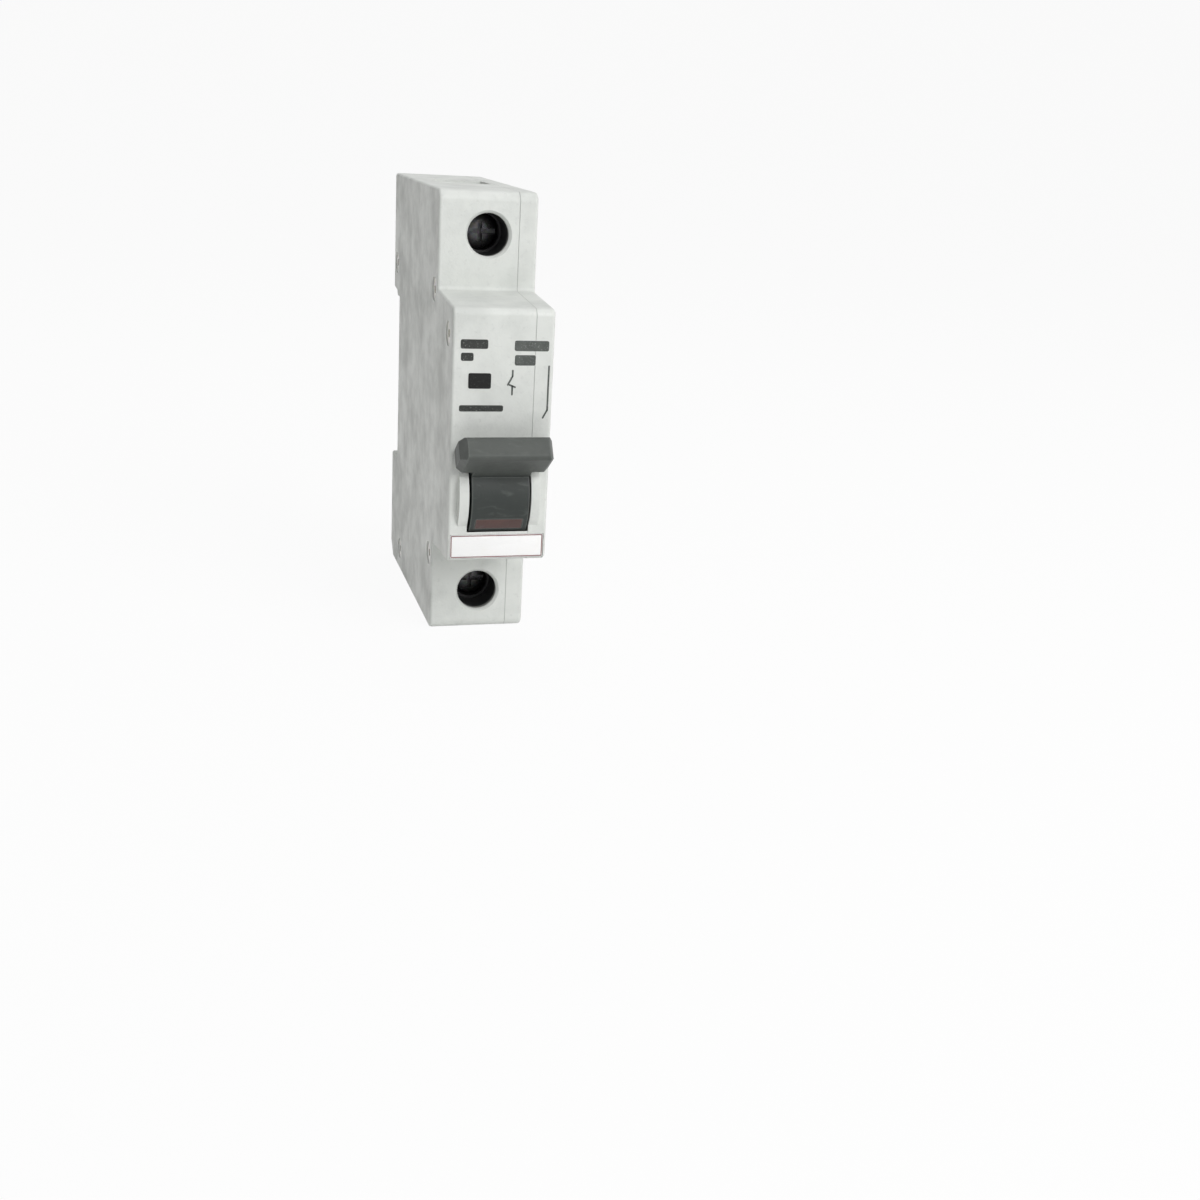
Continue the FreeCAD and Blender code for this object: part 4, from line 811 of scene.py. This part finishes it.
class BREAKER_OT_stage(bpy.types.Operator):
    """Pale floor with a swept backdrop, soft lamps and the camera"""
    bl_idname = "breaker.stage"
    bl_label = "Stage"

    def execute(self, context):
        sizes = context.scene.breaker_stage
        self.floor(sizes)
        self.lamps(context, sizes)
        self.camera(context, sizes)
        context.scene.view_settings.view_transform = "Standard"
        return {"FINISHED"}

    def floor(self, sizes):
        """Flat ground that sweeps up into a backdrop."""
        ground = CAD_BOX[0].z
        mesh = bmesh.new()
        verts = [mesh.verts.new(place) for place in
                 ((-FLOOR_SIDE, FLOOR_FRONT, ground), (-FLOOR_SIDE, FLOOR_BACK, ground),
                  (-FLOOR_SIDE, FLOOR_BACK, ground + FLOOR_RISE))]
        chain = [mesh.edges.new(pair) for pair in zip(verts, verts[1:])]
        bmesh.ops.bevel(mesh, geom=[verts[1]], offset=FLOOR_SWEEP, offset_type="OFFSET",
                        affect="VERTICES", segments=32, profile=0.5, material=-1)
        swept = bmesh.ops.extrude_edge_only(mesh, edges=list(mesh.edges))
        moved = [item for item in swept["geom"] if isinstance(item, bmesh.types.BMVert)]
        bmesh.ops.translate(mesh, vec=(2 * FLOOR_SIDE, 0.0, 0.0), verts=moved)
        bmesh.ops.recalc_face_normals(mesh, faces=mesh.faces)
        for face in mesh.faces:
            face.smooth = True
        data = bpy.data.meshes.new("studio_floor")
        mesh.to_mesh(data)
        mesh.free()
        floor = bpy.data.objects.new("studio_floor", data)
        bpy.context.scene.collection.objects.link(floor)
        finish = Finish("studio_floor_paint")
        finish.set(Base_Color=(*sizes.floor_colour, 1.0), Roughness=0.8)
        seen = seen_rays(finish.tree)
        glow = finish.add("ShaderNodeEmission", {"Color": (1.0, 1.0, 1.0, 1.0),
                                                 "Strength": 1.0}).outputs[0]
        share = finish.calc("MULTIPLY", seen, sizes.floor_glow)
        mixed = finish.add("ShaderNodeMixShader", {0: share, 1: finish.shader.outputs[0],
                                                   2: glow}).outputs[0]
        output = finish.tree.nodes["Material Output"]
        finish.tree.links.new(mixed, output.inputs["Surface"])
        data.materials.append(finish.material)

    def lamps(self, context, sizes):
        """Even light from all sides and three soft lamps aimed at the breaker."""
        world = bpy.data.worlds.new("studio_light")
        context.scene.world = world
        world.use_nodes = True
        tree = world.node_tree
        backdrop = tree.nodes["Background"]
        backdrop.inputs["Color"].default_value = (1.0, 1.0, 1.0, 1.0)
        level = tree.nodes.new("ShaderNodeMapRange")
        level.inputs["To Min"].default_value = sizes.ambient
        level.inputs["To Max"].default_value = 1.0
        tree.links.new(seen_rays(tree), level.inputs["Value"])
        tree.links.new(level.outputs["Result"], backdrop.inputs["Strength"])
        middle = (CAD_BOX[0] + CAD_BOX[1]) / 2
        for name, place, size, power in (
                ("key_lamp", (0.30, -0.55, 0.32), 0.45, sizes.key_power),
                ("fill_lamp", (-0.60, -0.25, 0.15), 0.5, sizes.fill_power),
                ("top_lamp", (0.05, 0.05, 0.65), 0.5, sizes.top_power)):
            lamp = bpy.data.lights.new(name, "AREA")
            lamp.shape = "DISK"
            lamp.size = size
            lamp.energy = power
            lamp_object = bpy.data.objects.new(name, lamp)
            context.scene.collection.objects.link(lamp_object)
            lamp_object.location = place
            aim = middle - Vector(place)
            lamp_object.rotation_mode = "QUATERNION"
            lamp_object.rotation_quaternion = aim.to_track_quat("-Z", "Y")

    def camera(self, context, sizes):
        """Camera level along +Y, then rolled, tilted and turned."""
        data = bpy.data.cameras.new("view_camera")
        data.sensor_width = 36.0
        data.lens = sizes.lens
        data.clip_start = 0.01
        data.clip_end = 20.0
        camera = bpy.data.objects.new("view_camera", data)
        context.scene.collection.objects.link(camera)
        level = Matrix.Rotation(math.radians(90.0), 4, "X")
        camera.matrix_world = (Matrix.Translation(sizes.camera_place)
                               @ Matrix.Rotation(sizes.camera_yaw, 4, "Z")
                               @ Matrix.Rotation(sizes.camera_pitch, 4, "X")
                               @ Matrix.Rotation(sizes.camera_roll, 4, "Y") @ level)
        context.scene.camera = camera


PROPERTY_GROUPS = {
    "breaker_case": BreakerCaseFinish, "breaker_handle": BreakerHandleFinish,
    "breaker_metal": BreakerMetalFinish, "breaker_print": BreakerPrint,
    "breaker_label": BreakerLabel, "breaker_screw": BreakerScrew,
    "breaker_stage": BreakerStage,
}
OPERATORS = (BREAKER_OT_case, BREAKER_OT_handle, BREAKER_OT_print, BREAKER_OT_label,
             BREAKER_OT_screws, BREAKER_OT_terminals, BREAKER_OT_works, BREAKER_OT_clip,
             BREAKER_OT_stage)


class BREAKER_PT_panel(bpy.types.Panel):
    """Lists the breaker's pieces and finishes"""
    bl_idname = "BREAKER_PT_panel"
    bl_label = "Breaker"
    bl_space_type = "VIEW_3D"
    bl_region_type = "UI"
    bl_category = "Breaker"

    def draw(self, context):
        for operator in OPERATORS:
            self.layout.operator(operator.bl_idname)


def register():
    for name, group in PROPERTY_GROUPS.items():
        bpy.utils.register_class(group)
        setattr(bpy.types.Scene, name, PointerProperty(type=group))
    for operator in OPERATORS:
        bpy.utils.register_class(operator)
    bpy.utils.register_class(BREAKER_PT_panel)


def unregister():
    bpy.utils.unregister_class(BREAKER_PT_panel)
    for operator in reversed(OPERATORS):
        bpy.utils.unregister_class(operator)
    for name, group in reversed(PROPERTY_GROUPS.items()):
        delattr(bpy.types.Scene, name)
        bpy.utils.unregister_class(group)


def main():
    register()
    for operator in OPERATORS:
        group, name = operator.bl_idname.split(".")
        getattr(getattr(bpy.ops, group), name)()
    bpy.context.view_layer.update()


if __name__ == "__main__":
    main()
